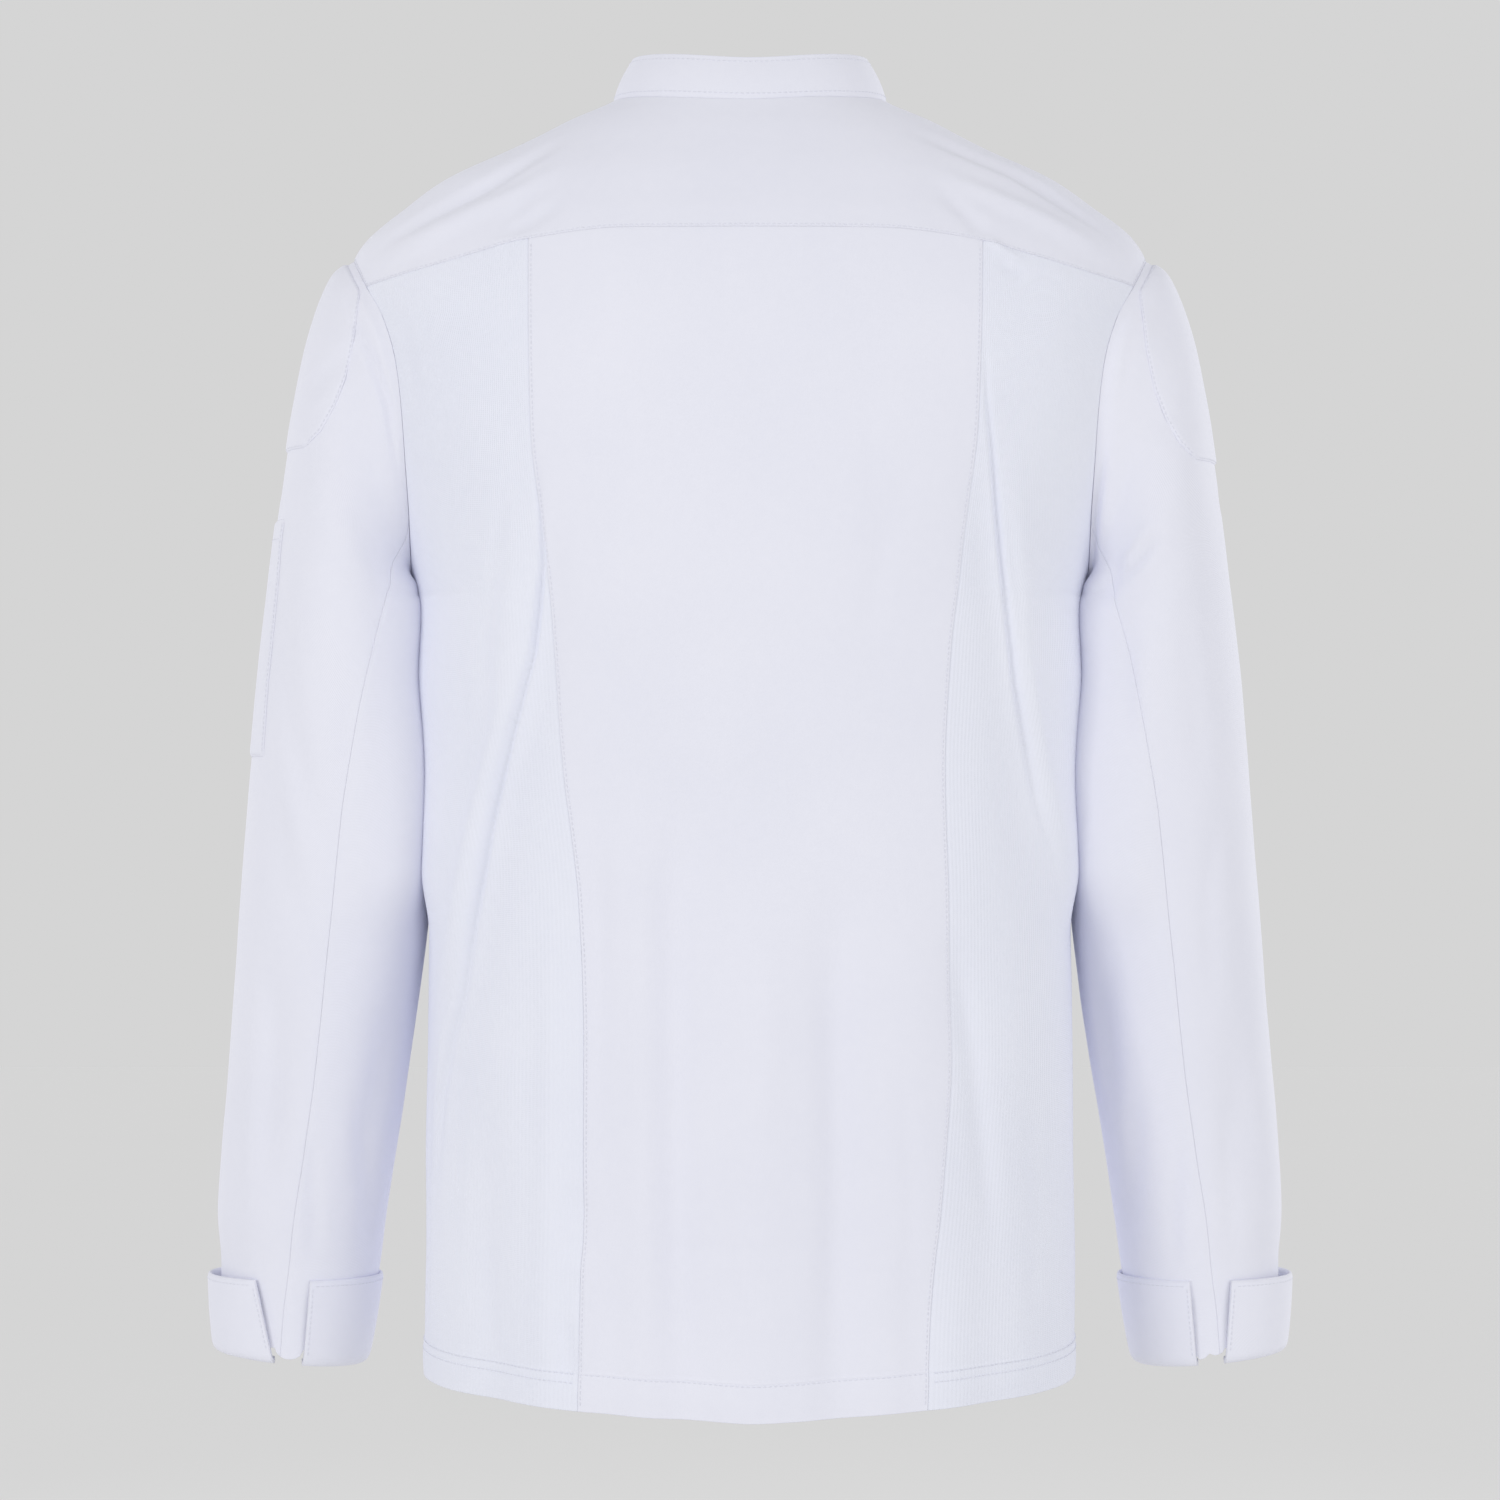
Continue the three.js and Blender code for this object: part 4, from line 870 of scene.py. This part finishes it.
def rows_up(length):
    near_hem = HEM_DEPTH + np.array([-2.8, -2.1, -1.4, -0.7, 0, 0.7, 1.4])
    return np.unique(np.concatenate([spread(length, STEP), near_hem]))


def back_panel(from_turn, to_turn, from_x, to_x, top, rise, across):
    """Level rows between two turns, and above them rows that close in on the yoke's edge."""
    split = top - HEM_LEVEL
    up = rows_up(split + rise)
    level = HEM_LEVEL + np.minimum(up, split)[:, None]
    turn = lerp(from_turn(level), to_turn(level), across)
    points = body_point(row_z(level, turn), turn)
    over = np.clip((up - split) / rise, 0, 1)[:, None]
    seam_x = lerp(from_x, to_x, across)
    x = lerp(points[..., 0], seam_x, over)
    z = lerp(points[..., 2], yoke_z(np.abs(seam_x)), over)
    points = np.where(over[..., None] > 0, body_point(z, turn_at_x(z, x, 1)), points)
    return worn(points, hem_lift(up)[:, None] + 0 * x)


def middle_back():
    across = shares(226)
    points, normals = back_panel(
        lambda z: turn_at_x(z, -back_seams["right"](z), 1),
        lambda z: turn_at_x(z, back_seams["left"](z), 1),
        -back_seams["right"](BACK_SEAM_TOP_Z), back_seams["left"](BACK_SEAM_TOP_Z), BACK_TOP, 26, across,
    )
    points = rolled(trimmed(points), normals, ("start", "end"), high=0.1, start=0.1, end=0.1)
    for edge in ("start", "end"):
        stitch_edge("back", points, normals, edge)
    stitch_edge("back", points, normals, "low", HEM_STITCH)
    return cloth_piece(shell("back_middle_cloth", points, normals, CLOTH, twill), "back_middle", points)


RIBS, RIB_DEPTH, RIB_SAMPLES = 76, 0.26, 4


def side_back(side):
    name = SIDE_NAMES[side]
    seam_x = back_seams[name]
    across = np.linspace(0, 1, RIBS * RIB_SAMPLES + 1)
    points, normals = back_panel(
        lambda z: side * turn_at_x(z, seam_x(z), 1),
        lambda z: side * np.where(z <= UNDERARM_Z, side_turn(z), turn_at_y(z, armhole_y(z, 1))),
        side * seam_x(BACK_SEAM_TOP_Z), side * YOKE_CORNER_X, SIDE_TOP, 30, across,
    )
    points = rolled(trimmed(points), normals, high=0.12, start=0.4, end=0.15)
    stitch_edge("back", points, normals, "low", HEM_STITCH)
    stitch_edge("back", points, normals, "low", HEM_STITCH - HEM_STITCH_PITCH)
    wave = RIB_DEPTH * (0.5 - 0.5 * np.cos(2 * np.pi * RIBS * across))
    ribbed_points = points - normals * wave[None, :, None]
    made = shell(f"back_side_{name}_cloth", ribbed_points, normals, CLOTH, ribbed, every=RIB_SAMPLES)
    return cloth_piece(made, f"back_side_{name}", points)


def neckline_plan(turn, out=0.0):
    c, s = np.cos(np.radians(turn)), np.sin(np.radians(turn))
    depth = np.where(s > 0, NECK_BACK, NECK_FRONT) + out
    return np.stack([(NECK_HALF + out) * c, depth * s], axis=-1)


NECK_FRONT_Z = float(solve(lambda z: -body["front"](z), -90.0, 0.0, -NECK_FRONT - NECK_CLEAR))


def neckline_turn(z):
    def inside(turn):
        p = body_point(z, turn)
        return -((p[..., 0] / (NECK_HALF + NECK_CLEAR)) ** 2 + (p[..., 1] / (NECK_FRONT + NECK_CLEAR)) ** 2)

    return solve(inside, 92 + 0 * z, 180.0, -1)


# The seam in front of each shoulder: a straight line in plan, from the neckline to the armhole
SEAM_NECK_Y, SEAM_ARMHOLE_Y = 29.0, 22.0
shoulder_join_z = float(solve(lambda z: -armhole_y(z, -1), -112.0, SHOULDER_TIP_Z, -SEAM_ARMHOLE_Y))
seam_neck_turn = -math.degrees(math.asin(SEAM_NECK_Y / (NECK_FRONT + NECK_CLEAR)))
seam_neck_plan = neckline_plan(seam_neck_turn, NECK_CLEAR)
seam_armhole_plan = np.array([armhole_x(shoulder_join_z), -armhole_y(shoulder_join_z, -1)])
seam_share = np.linspace(0, 1, 8)[:, None]
seam_plan = lerp(seam_neck_plan, seam_armhole_plan, seam_share)
seam_heights = roof(seam_plan[:, 0], seam_plan[:, 1])
shoulder_line_y = curve(seam_heights[::-1], seam_plan[::-1, 1])


NECK_ROWS = np.array([
    -18, -16, -14, -12, -10, -8, -6, -4, -2, -1, 0, 0.2, 0.6, 1.2, 2, 3, 4.2, 5.6, 7.4,
])


def front(side, reach, lift, name):
    corner_z = lerp(seam_heights[0], seam_heights[1], 0.1)
    low = HEM_LEVEL + rows_up(NECK_FRONT_Z - 20 - HEM_LEVEL)
    neck = NECK_FRONT_Z + NECK_ROWS
    above = neck[-1] + spread(corner_z - neck[-1], 2.4, near=(0.0, 0.6, 1.4))[1:]
    level = np.concatenate([low, neck, above])[:, None]
    across = shares(235)
    edge_y = np.where(level < shoulder_join_z, -armhole_y(level, -1), shoulder_line_y(level))
    armhole_edge = turn_at_y(level, edge_y)
    outer = np.where(level <= UNDERARM_Z, side_turn(level), armhole_edge)
    passed = reach * ease((NECK_FRONT_Z - level) / 20)
    edge = np.where(passed < 1, 180, 360 + turn_at_x(level, -np.maximum(passed, 1e-6), -1))
    inner = np.where(level > NECK_FRONT_Z, neckline_turn(level), edge)
    turn = side * lerp(outer, inner, across)
    points = body_point(row_z(level, turn), turn)
    up = level - HEM_LEVEL
    points, normals = worn(points, hem_lift(up) + lift(side * points[..., 0]))
    points = rolled(trimmed(points), normals, ("end",), high=0.3, start=0.3)
    stitch_edge("front", points, normals, "low", HEM_STITCH)
    stitch_edge("front", points, normals, "end")
    made = shell(f"{name}_cloth", points, normals, CLOTH, twill)
    return cloth_piece(made, name, points)


def upper_lift(x):
    """The left front stands proud where it laps over the right one."""
    return LAYER_RISE * ease((74 - x) / 28)


# Yoke
armhole_middle_z = (SHOULDER_TIP_Z + UNDERARM_Z) / 2
armhole_reach_z = (SHOULDER_TIP_Z - UNDERARM_Z) / 2


def armhole_point(turn, side):
    """Turn is 0 at the shoulder tip, 90 at the back and 180 at the underarm."""
    z = armhole_middle_z + armhole_reach_z * np.cos(np.radians(turn))
    behind = np.sin(np.radians(turn)) >= 0
    y = np.where(behind, armhole_y(z, 1), -armhole_y(z, -1))
    return np.stack([side * armhole_x(z), y, z], axis=-1)


def armhole_turn(z):
    return math.degrees(math.acos((z - armhole_middle_z) / armhole_reach_z))


def yoke():
    neck_corner = 24
    armhole_t = shares(80)[:-1]
    arm = armhole_point(lerp(-armhole_turn(shoulder_join_z), armhole_turn(YOKE_CORNER_Z), armhole_t), 1)
    back_x = YOKE_CORNER_X - spread(2 * YOKE_CORNER_X, STEP)
    back_height = yoke_z(np.abs(back_x))
    back = body_point(back_height, turn_at_x(back_height, back_x, 1))
    flip = np.array([-1, 1])
    outer = np.concatenate([arm[:, :2], back[:, :2], arm[::-1, :2] * flip])
    arm_inner = neckline_plan(lerp(seam_neck_turn, neck_corner, armhole_t), -0.1)
    share = (YOKE_CORNER_X - back_x) / (2 * YOKE_CORNER_X)
    back_inner = neckline_plan(lerp(neck_corner, 180 - neck_corner, share), -0.1)
    inner = np.concatenate([arm_inner, back_inner, arm_inner[::-1] * flip])
    w = shares(110, FINE_STEP)[:, None, None]
    plan = lerp(inner, outer, w)
    height = roof(plan[..., 0], plan[..., 1])
    points, normals = worn(np.concatenate([plan, height[..., None]], axis=-1))
    points = rolled(trimmed(points, low=0), normals, ("high",), start=0.12, end=0.12)
    stitch_edge("yoke", points, normals, "high")
    return cloth_piece(shell("yoke_cloth", points, normals, CLOTH, twill), "yoke", points)


# Standing collar: a closed section swept round the neckline
COLLAR_ROWS = 12


def collar():
    end_turn = math.degrees(math.asin(COLLAR_END_GAP / NECK_HALF))
    turn = lerp(-90 + end_turn, 270 - end_turn, shares(480, FINE_STEP, NEAR_FOLDED))
    foot = neckline_plan(turn, -0.2)
    foot_z = roof(foot[:, 0], foot[:, 1]) - CLOTH
    out = unit(foot)
    from_end = np.minimum(turn + 90, 270 - turn) * math.radians(1) * NECK_HALF
    near_end = np.clip(1 - from_end / COLLAR_CORNER, 0, 1)
    rise = (COLLAR_RISE + CLOTH) * (1 - 0.3 * near_end ** 2)
    radius = DOUBLED / 2
    rows = [(t, 0.0, 0.0) for t in np.linspace(0, 1, COLLAR_ROWS)]
    for a in np.radians([25, 50, 75, 105, 130, 155]):
        rows.append((1.0, radius * (1 - math.cos(a)), radius * math.sin(a)))
    rows += [(t, DOUBLED, 0.0) for t in np.linspace(1, 0, COLLAR_ROWS)]
    loops = []
    for t, inward, up in rows:
        lean = COLLAR_LEAN * lerp(t * t, t, 0.35) + inward
        plan = foot - out * lean
        height = foot_z + (rise - radius) * t + up
        loops.append(np.concatenate([plan, height[:, None]], axis=-1))
    loops = np.array(loops)
    face = loops[:COLLAR_ROWS]
    outward = np.broadcast_to(np.append(out, np.zeros((len(out), 1)), axis=1), face.shape)
    for edge, distance in [("low", 5.0), ("high", 2.0), ("start", 2.0), ("end", 2.0)]:
        stitch_edge("collar", face, outward, edge, distance)
    return cloth_piece(swept("collar_cloth", loops, twill), "collar", face)


def swept(name, loops, material):
    """A solid from closed loops: loops[i][j] is point i of the section at step j of the sweep."""
    around, steps = loops.shape[:2]
    index = np.arange(around * steps).reshape(around, steps)
    closed = np.concatenate([index, index[:1]])
    faces = quads(closed).tolist()
    for i in range(around // 2 - 1):
        k = around - 1 - i
        faces.append([index[i, 0], index[i + 1, 0], index[k - 1, 0], index[k, 0]])
        faces.append([index[i, -1], index[k, -1], index[k - 1, -1], index[i + 1, -1]])
    centre = loops.mean(axis=0)
    middle = steps // 2
    step = loops[0, middle + 1] - loops[0, middle]
    spin = loops[1, middle] - loops[0, middle]
    outward = loops[0, middle] - centre[middle]
    if np.dot(np.cross(step, spin), outward) < 0:
        faces = [f[::-1] for f in faces]
    uv = np.stack([arc(loops, 1), arc(loops, 0)], axis=-1).reshape(-1, 2)
    return mesh_object(name, loops.reshape(-1, 3), faces, uv, material)


# Sleeves: sections from the armhole to the cuff
SLEEVE = table("row outX outZ inX inZ back front y backSeam frontSeam", [
    (0, 232.7, -92.6, 197.6, -290, 68, 66, 0, 126, 222),
    (1, 243, -100, 198, -292.5, 67, 65, 0, 131, 222),
    (2, 251.5, -116, 197.8, -297, 68, 65, 0, 132, 222),
    (3, 259, -138.5, 197.2, -303, 70, 66, 0, 131, 223),
    (4, 264.5, -163, 196.6, -310, 72, 68, 0, 130, 223),
    (5, 269, -188, 195.8, -318, 74, 70, 0, 127, 224),
    (6, 273.5, -220, 194.9, -329, 75, 71, -1, 123, 225),
    (7, 279, -257, 193.7, -343, 75, 71, -2, 118, 226),
    (8, 283.5, -290, 191.8, -361, 74, 71, -3, 112, 227),
    (9, 287.3, -322, 189.6, -382, 73, 70, -5, 106, 228),
    (10, 291.2, -360, 188.3, -408, 71, 69, -7, 101, 228),
    (11, 295.4, -402, 188.3, -438, 68, 67, -9, 97, 229),
    (12, 299.6, -450, 190, -476, 65, 64, -12, 95, 230),
    (13, 304.8, -512, 195.2, -520, 61, 60, -16, 94, 231),
    (14, 309.3, -565, 202.6, -568, 56, 55, -20, 94, 231),
    (15, 313.9, -612, 210, -612, 51, 50, -24, 93, 232),
    (16, 316.6, -654, 216.8, -656, 46, 45, -28, 90, 232),
    (17, 314.6, -684, 221.2, -687, 42, 41, -30, 87, 232),
    (18, 315, -708, 226, -711, 41, 40, -31, 86, 232),
    (19, 314.5, -729, 231, -733, 41, 40, -31, 86, 232),
])
sleeve = curves(SLEEVE, "row")
LAST_ROW = 19


def oval_point(section, turn, side):
    c, s = np.cos(np.radians(turn)), np.sin(np.radians(turn))
    depth = np.where(s > 0, section["back"], section["front"])
    x = (section["outX"] + section["inX"]) / 2 + (section["outX"] - section["inX"]) / 2 * c
    z = (section["outZ"] + section["inZ"]) / 2 + (section["outZ"] - section["inZ"]) / 2 * c
    return np.stack([side * x, section["y"] + depth * s, z], axis=-1)


def sleeve_base(row, turn, side):
    row, turn = np.broadcast_arrays(np.asarray(row, dtype=float), turn)
    section = {name: f(row) for name, f in sleeve.items()}
    first = {name: values[0] for name, values in SLEEVE.items()}
    to_armhole = armhole_point(turn, side) - oval_point(first, turn, side) + np.array([side * 0.1, 0, 0])
    return oval_point(section, turn, side) + to_armhole * (1 - ease(row / 4))[..., None]


def sleeve_normal(row, turn, side):
    h = 0.02
    r = np.clip(row, h, LAST_ROW - h)
    along = sleeve_base(r + h, turn, side) - sleeve_base(r - h, turn, side)
    across = sleeve_base(row, turn + 0.5, side) - sleeve_base(row, turn - 0.5, side)
    return side * unit(np.cross(along, across))


HEAD_FULLNESS, SWELL = 2.2, 1.12


def head_rise(row, turn):
    """The fullness of the sleeve's head stands up beside the armhole seam."""
    along = (row - 1.1) / 0.8
    across = (np.abs(np.where(turn > 180, 360 - turn, turn)) - 92) / 42
    return HEAD_FULLNESS * np.exp(-along * along - across * across) * ease(row * 2)


def swell(point, row, turn):
    """The side of the sleeve that swells toward the body."""
    y, z = point[..., 1], point[..., 2]
    inner = ease((turn - 92) / 20) * ease((215 - turn) / 20) * ease((row - 0.5) / 1.4)
    return SWELL * meeting_gap(z) * (1 - body_share(z)) * meeting_bump(y) * inner


def sleeve_point(row, turn, side, more=0.0):
    point = sleeve_base(row, turn, side)
    normal = sleeve_normal(row, turn, side)
    across = np.where(turn > 250, turn - 360, turn) * 0.95
    clear = 1 - ease((26 - np.abs(180 - turn)) / 14)
    height = fold_height(SLEEVE_FOLDS[side], across, point[..., 2]) * ease((row - 5) / 3) * clear
    height = height + head_rise(row, turn) + swell(point, row, turn) + unevenness(point) * ease(row)
    height = height + crease_height(SLEEVE_CREASES[side], point, normal) * clear * ease(row)
    return point + normal * (height + more)[..., None], normal


# The cuff's notch: the turn of its inner edge, and of its outer one at the top and the bottom
NOTCH_INNER = 105.5
NOTCH_OUTER = {1: (67.0, 82.0), -1: (77.0, 83.0)}

# The sleeve's end sags out of the cuff's notch in rounded tongues
TONGUES = {
    1: table("turn half drop", [(93.5, 11.5, 6.5)]),
    -1: table("turn half drop", [(101, 5.5, 6.5), (89.5, 7, 4)]),
}


def end_drop(turn, side):
    drop = 0
    for middle, half, low in zip(*TONGUES[side].values()):
        drop = drop + low * np.sqrt(np.clip(1 - ((turn - middle) / half) ** 2, 0, 1))
    return drop


def upper_from(row):
    return sleeve["frontSeam"](row) - 360


sleeve_rows = shares(650, 4.2) * LAST_ROW


def sleeve_piece(side, from_turn, to_turn, width, name):
    row = sleeve_rows[:, None]
    across = shares(width)
    turn = lerp(from_turn(row), to_turn(row), across)
    points, normals = sleeve_point(row, turn, side)
    points[..., 2] -= end_drop(turn, side) * np.clip(row - LAST_ROW + 1, 0, 1)
    points = rolled(trimmed(points, low=0, high=0), normals, ("start",), low=0.12, start=0.15, end=0.3)
    made = shell(f"{name}_cloth", points, normals, CLOTH, twill)
    return cloth_piece(made, name, points)


def add_sleeves(side):
    name = SIDE_NAMES[side]
    sleeve_piece(side, upper_from, sleeve["backSeam"], 190, f"sleeve_upper_{name}")
    sleeve_piece(side, sleeve["backSeam"], sleeve["frontSeam"], 130, f"sleeve_under_{name}")


# Overlays on the upper sleeve
PATCH_EDGE = table("z x", [
    (-213, 256),
    (-204, 246),
    (-190, 238),
    (-174, 232),
    (-150, 227.5),
    (-118, 225),
    (-60, 225),
])
LEFT_PATCH_RISE = 7.0
PATCH_LOW = 213  # how far down its lower edge is
PATCH_FIRST_ROW, PATCH_LAST_ROW = 0.3, 7.4


def overlay(node, points, normals, hem=None):
    """Cloth laid on the upper sleeve: thin at its stitched edges, and stitched down along them."""
    edges = ("high", "start", "end")
    points, thickness = pressed(points, normals, edges)
    for edge in edges:
        stitch_edge("sleeves", points, normals, edge)
    if hem:
        stitch_edge("sleeves", points, normals, "low", hem)
    made = shell(f"{node}_cloth", points, normals, thickness, twill)
    return cloth_piece(made, node, points)


def shoulder_patch(side):
    rise = LEFT_PATCH_RISE if side > 0 else 0.0
    name = SIDE_NAMES[side]

    def limit(row, face):
        """The turn at which the patch's edge crosses a row of the sleeve."""
        def inside(turn):
            p, _ = sleeve_point(row, face * turn, side)
            return np.interp(p[..., 2] - rise, PATCH_EDGE["z"], PATCH_EDGE["x"]) - side * p[..., 0]

        return face * solve(inside, 1.0 + 0 * row, 125.0, 0)

    keys = np.linspace(PATCH_FIRST_ROW, PATCH_LAST_ROW, 90)
    back_limit, front_limit = limit(keys, 1), limit(keys, -1)
    across = shares(150, FINE_STEP)

    def turn_of(row, a):
        return lerp(np.interp(row, keys, front_limit), np.interp(row, keys, back_limit), a)

    def depth_of(row):
        p, _ = sleeve_point(row, turn_of(row, across), side)
        return -p[..., 2]

    last = solve(depth_of, PATCH_FIRST_ROW + 0 * across, PATCH_LAST_ROW, PATCH_LOW - rise)
    row = lerp(0.35, last, shares(125, FINE_STEP)[:, None])
    turn = turn_of(row, across + 0 * row)
    points, normals = sleeve_point(row, turn, side, OVER_SEAT)
    return overlay(f"shoulder_patch_{name}", points, normals)


POCKET = table("z back front", [(-384, 35, -39), (-246, 41, -33)])
POCKET_HEM = 12.0


def pen_pocket():
    z = lerp(POCKET["z"][1], POCKET["z"][0], shares(138, FINE_STEP))[:, None]
    ends = [np.interp(z, POCKET["z"], POCKET[name]) for name in ("front", "back")]
    y = lerp(*ends, shares(74, FINE_STEP))
    turn = np.zeros_like(y)
    for _ in range(8):
        row = solve(lambda r: -sleeve_base(r, turn, 1)[..., 2], 5.0 + 0 * y, 14.0, -z)
        depth = np.where(y > sleeve["y"](row), sleeve["back"](row), sleeve["front"](row))
        turn = np.degrees(np.arcsin(np.clip((y - sleeve["y"](row)) / depth, -0.98, 0.98)))
    points, normals = sleeve_point(row, turn, 1, OVER_SEAT)
    return overlay("pen_pocket", points, normals, POCKET_HEM)


# Turned-up cuffs: a hooked section swept round the sleeve's end
CUFF = table("row outX outZ inX inZ back front y", [
    (0, 323.2, -692, 219, -693, 47, 46, -31),
    (1, 320.4, -736, 227, -744, 46, 45, -31),
])
CUFF_HOOK = table("out down", [
    (0, 0),
    (0.5, 0.25),
    (0.5, 0.55),
    (0, 0.85),
    (-0.8, 0.95),
    (-2.6, 1),
    (-5.4, 1.01),
    (-7.2, 0.96),
    (-6.8, 0.93),
    (-5, 0.945),
    (-3.2, 0.92),
    (-2.4, 0.84),
    (-1.9, 0.55),
    (-1.9, 0.25),
    (-2.4, 0),
])


def rounded(values, per):
    """A closed line's points joined by a smooth curve, with so many steps between two of them."""
    before, after, beyond = np.roll(values, 1), np.roll(values, -1), np.roll(values, -2)
    made = []
    for t in np.arange(per) / per:
        made.append(0.5 * (
            2 * values + (after - before) * t + (2 * before - 5 * values + 4 * after - beyond) * t ** 2
            + (3 * values - before - 3 * after + beyond) * t ** 3
        ))
    return np.stack(made, axis=1).ravel()


HOOK_STEPS, CUFF_FACE = 4, 17  # steps between two points of the hook; rows of its outer face
CUFF_DRAW, CUFF_DRAW_TURN = 2.4, 75  # the cuff lies closer to the sleeve near its notch


def cuff(side):
    out, down = rounded(CUFF_HOOK["out"], HOOK_STEPS), rounded(CUFF_HOOK["down"], HOOK_STEPS)
    section = {name: lerp(values[0], values[1], down)[:, None] for name, values in CUFF.items()}
    outer_turn = 360 + lerp(*NOTCH_OUTER[side], np.clip(down, 0, 1))[:, None]
    turn = lerp(NOTCH_INNER, outer_turn, shares(250, FINE_STEP, NEAR_FOLDED))
    away = np.stack([side * np.cos(np.radians(turn)), np.sin(np.radians(turn)), 0 * turn], axis=-1)
    from_notch = np.minimum(turn - NOTCH_INNER, outer_turn - turn)
    out = out[:, None] - CUFF_DRAW * (1 - ease(from_notch / CUFF_DRAW_TURN))
    loops = oval_point(section, turn, side) + away * out[..., None]
    name = SIDE_NAMES[side]
    face = loops[:CUFF_FACE]
    outward = away[: len(face)]
    for edge, distance in [("low", 2.0), ("start", 2.0), ("end", 2.0)]:
        stitch_edge("cuffs", face, outward, edge, distance)
    made = swept(f"cuff_{name}_cloth", loops, twill)
    return cloth_piece(made, f"cuff_{name}", loops[: len(loops) // 2])


# Press studs
STUD_RADIUS, STUD_HEIGHT, STUD_RISE = 6.0, 2.6, 0.25
STUD_INSET, STUD_FIRST_Z, STUD_PITCH, STUD_COUNT = 13.0, -104.0, 73.0, 8
STUD_PROFILE = table("radius height", [
    (0, 0),
    (0.8, 0),
    (0.93, 0.1),
    (1, 0.35),
    (0.97, 0.6),
    (0.86, 0.8),
    (0.74, 0.86),
    (0.68, 0.8),
    (0.62, 0.84),
    (0.5, 0.95),
    (0.28, 1),
    (0, 0.99),
])


def press_stud(i):
    z = np.array(STUD_FIRST_Z - i * STUD_PITCH)
    x = -(OVERLAP - STUD_INSET)
    point, normal = worn(body_point(z, turn_at_x(z, x, -1)), np.array(LAYER_RISE))
    seat = point + normal * (SEAM + STUD_RISE)
    side = unit(np.cross(normal, (0, 0, 1)))
    up = np.cross(side, normal)
    angle = np.radians(np.arange(0, 360, 7.5))
    ring = side * np.cos(angle)[:, None] + up * np.sin(angle)[:, None]
    loops = [
        seat + ring * r * STUD_RADIUS + normal * h * STUD_HEIGHT
        for r, h in zip(STUD_PROFILE["radius"][1:-1], STUD_PROFILE["height"][1:-1])
    ]
    count, rings = len(angle), len(loops)
    vertices = np.concatenate([*loops, [seat], [seat + normal * STUD_PROFILE["height"][-1] * STUD_HEIGHT]])
    index = np.arange(count * rings).reshape(rings, count)
    closed = np.concatenate([index, index[:, :1]], axis=1)
    faces = quads(closed)[:, ::-1].tolist()
    faces += [[closed[0, j], closed[0, j + 1], count * rings] for j in range(count)]
    faces += [[closed[-1, j + 1], closed[-1, j], count * rings + 1] for j in range(count)]
    made = mesh_object(f"stud_{i + 1}_cap", vertices, faces, None, cap)
    return piece(made, f"stud_{i + 1}")


# The jacket
collar()
yoke()
middle_back()
front(1, OVERLAP, upper_lift, "front_left")
front(-1, UNDERLAP, lambda x: 0 * x, "front_right")
for side in (1, -1):
    side_back(side)
    add_sleeves(side)
    shoulder_patch(side)
    cuff(side)
pen_pocket()
for i in range(STUD_COUNT):
    press_stud(i)
add_stitches()


# Stage and light: a pale grey studio, evenly lit, with a large soft light before and behind
GREY = 0.665
world = bpy.data.worlds.new("studio")
world.use_nodes = True
world.node_tree.nodes["Background"].inputs["Color"].default_value = (GREY, GREY, GREY, 1)
bpy.context.scene.world = world
bpy.context.scene.view_settings.view_transform = "Standard"
# White cloth lights its own folds and seams: light is followed from face to face often enough
bpy.context.scene.cycles.diffuse_bounces = 8


def soft_light(name, place, size, power):
    data = bpy.data.lights.new(name, "AREA")
    data.shape, data.size, data.energy = "SQUARE", size, power
    lamp = bpy.data.objects.new(name, data)
    lamp.location = place
    lamp.visible_camera = False
    aim = Vector((0, 0, EYE_HEIGHT)) - lamp.location
    lamp.rotation_euler = aim.to_track_quat("-Z", "Y").to_euler()
    bpy.context.collection.objects.link(lamp)


soft_light("key", (2.4, 2.5, 0.2), 1.2, 26.5)
soft_light("fill", (-2.5, 2.45, 0.1), 1.8, 22)
soft_light("front_key", (-2.4, -2.5, 0.2), 1.2, 25)
soft_light("front_fill", (2.2, -2.7, 0.1), 1.8, 17)

FLOOR_Z, FLOOR_SIZE = -1.5, 24.0
floor_nodes = Nodes("floor")
grain = floor_nodes.add("ShaderNodeTexNoise", {"Scale": 30.0, "Detail": 4.0}).outputs["Fac"]
floor_nodes.set(
    floor_nodes.shader.inputs["Roughness"],
    floor_nodes.math("ADD", floor_nodes.math("MULTIPLY", grain, 0.1), 0.8),
)
floor_nodes.shader.inputs["Base Color"].default_value = (0.3, 0.3, 0.3, 1)
floor_nodes.shader.inputs["Emission Color"].default_value = (1, 1, 1, 1)
floor_nodes.shader.inputs["Emission Strength"].default_value = 0.43
floor_mesh = bpy.data.meshes.new("floor")
half = FLOOR_SIZE / 2
corners = [(x * half, y * half, FLOOR_Z) for x, y in [(-1, -1), (1, -1), (1, 1), (-1, 1)]]
floor_mesh.from_pydata(corners, [], [(0, 1, 2, 3)])
floor_mesh.materials.append(floor_nodes.material)
floor = bpy.data.objects.new("floor", floor_mesh)
bpy.context.collection.objects.link(floor)
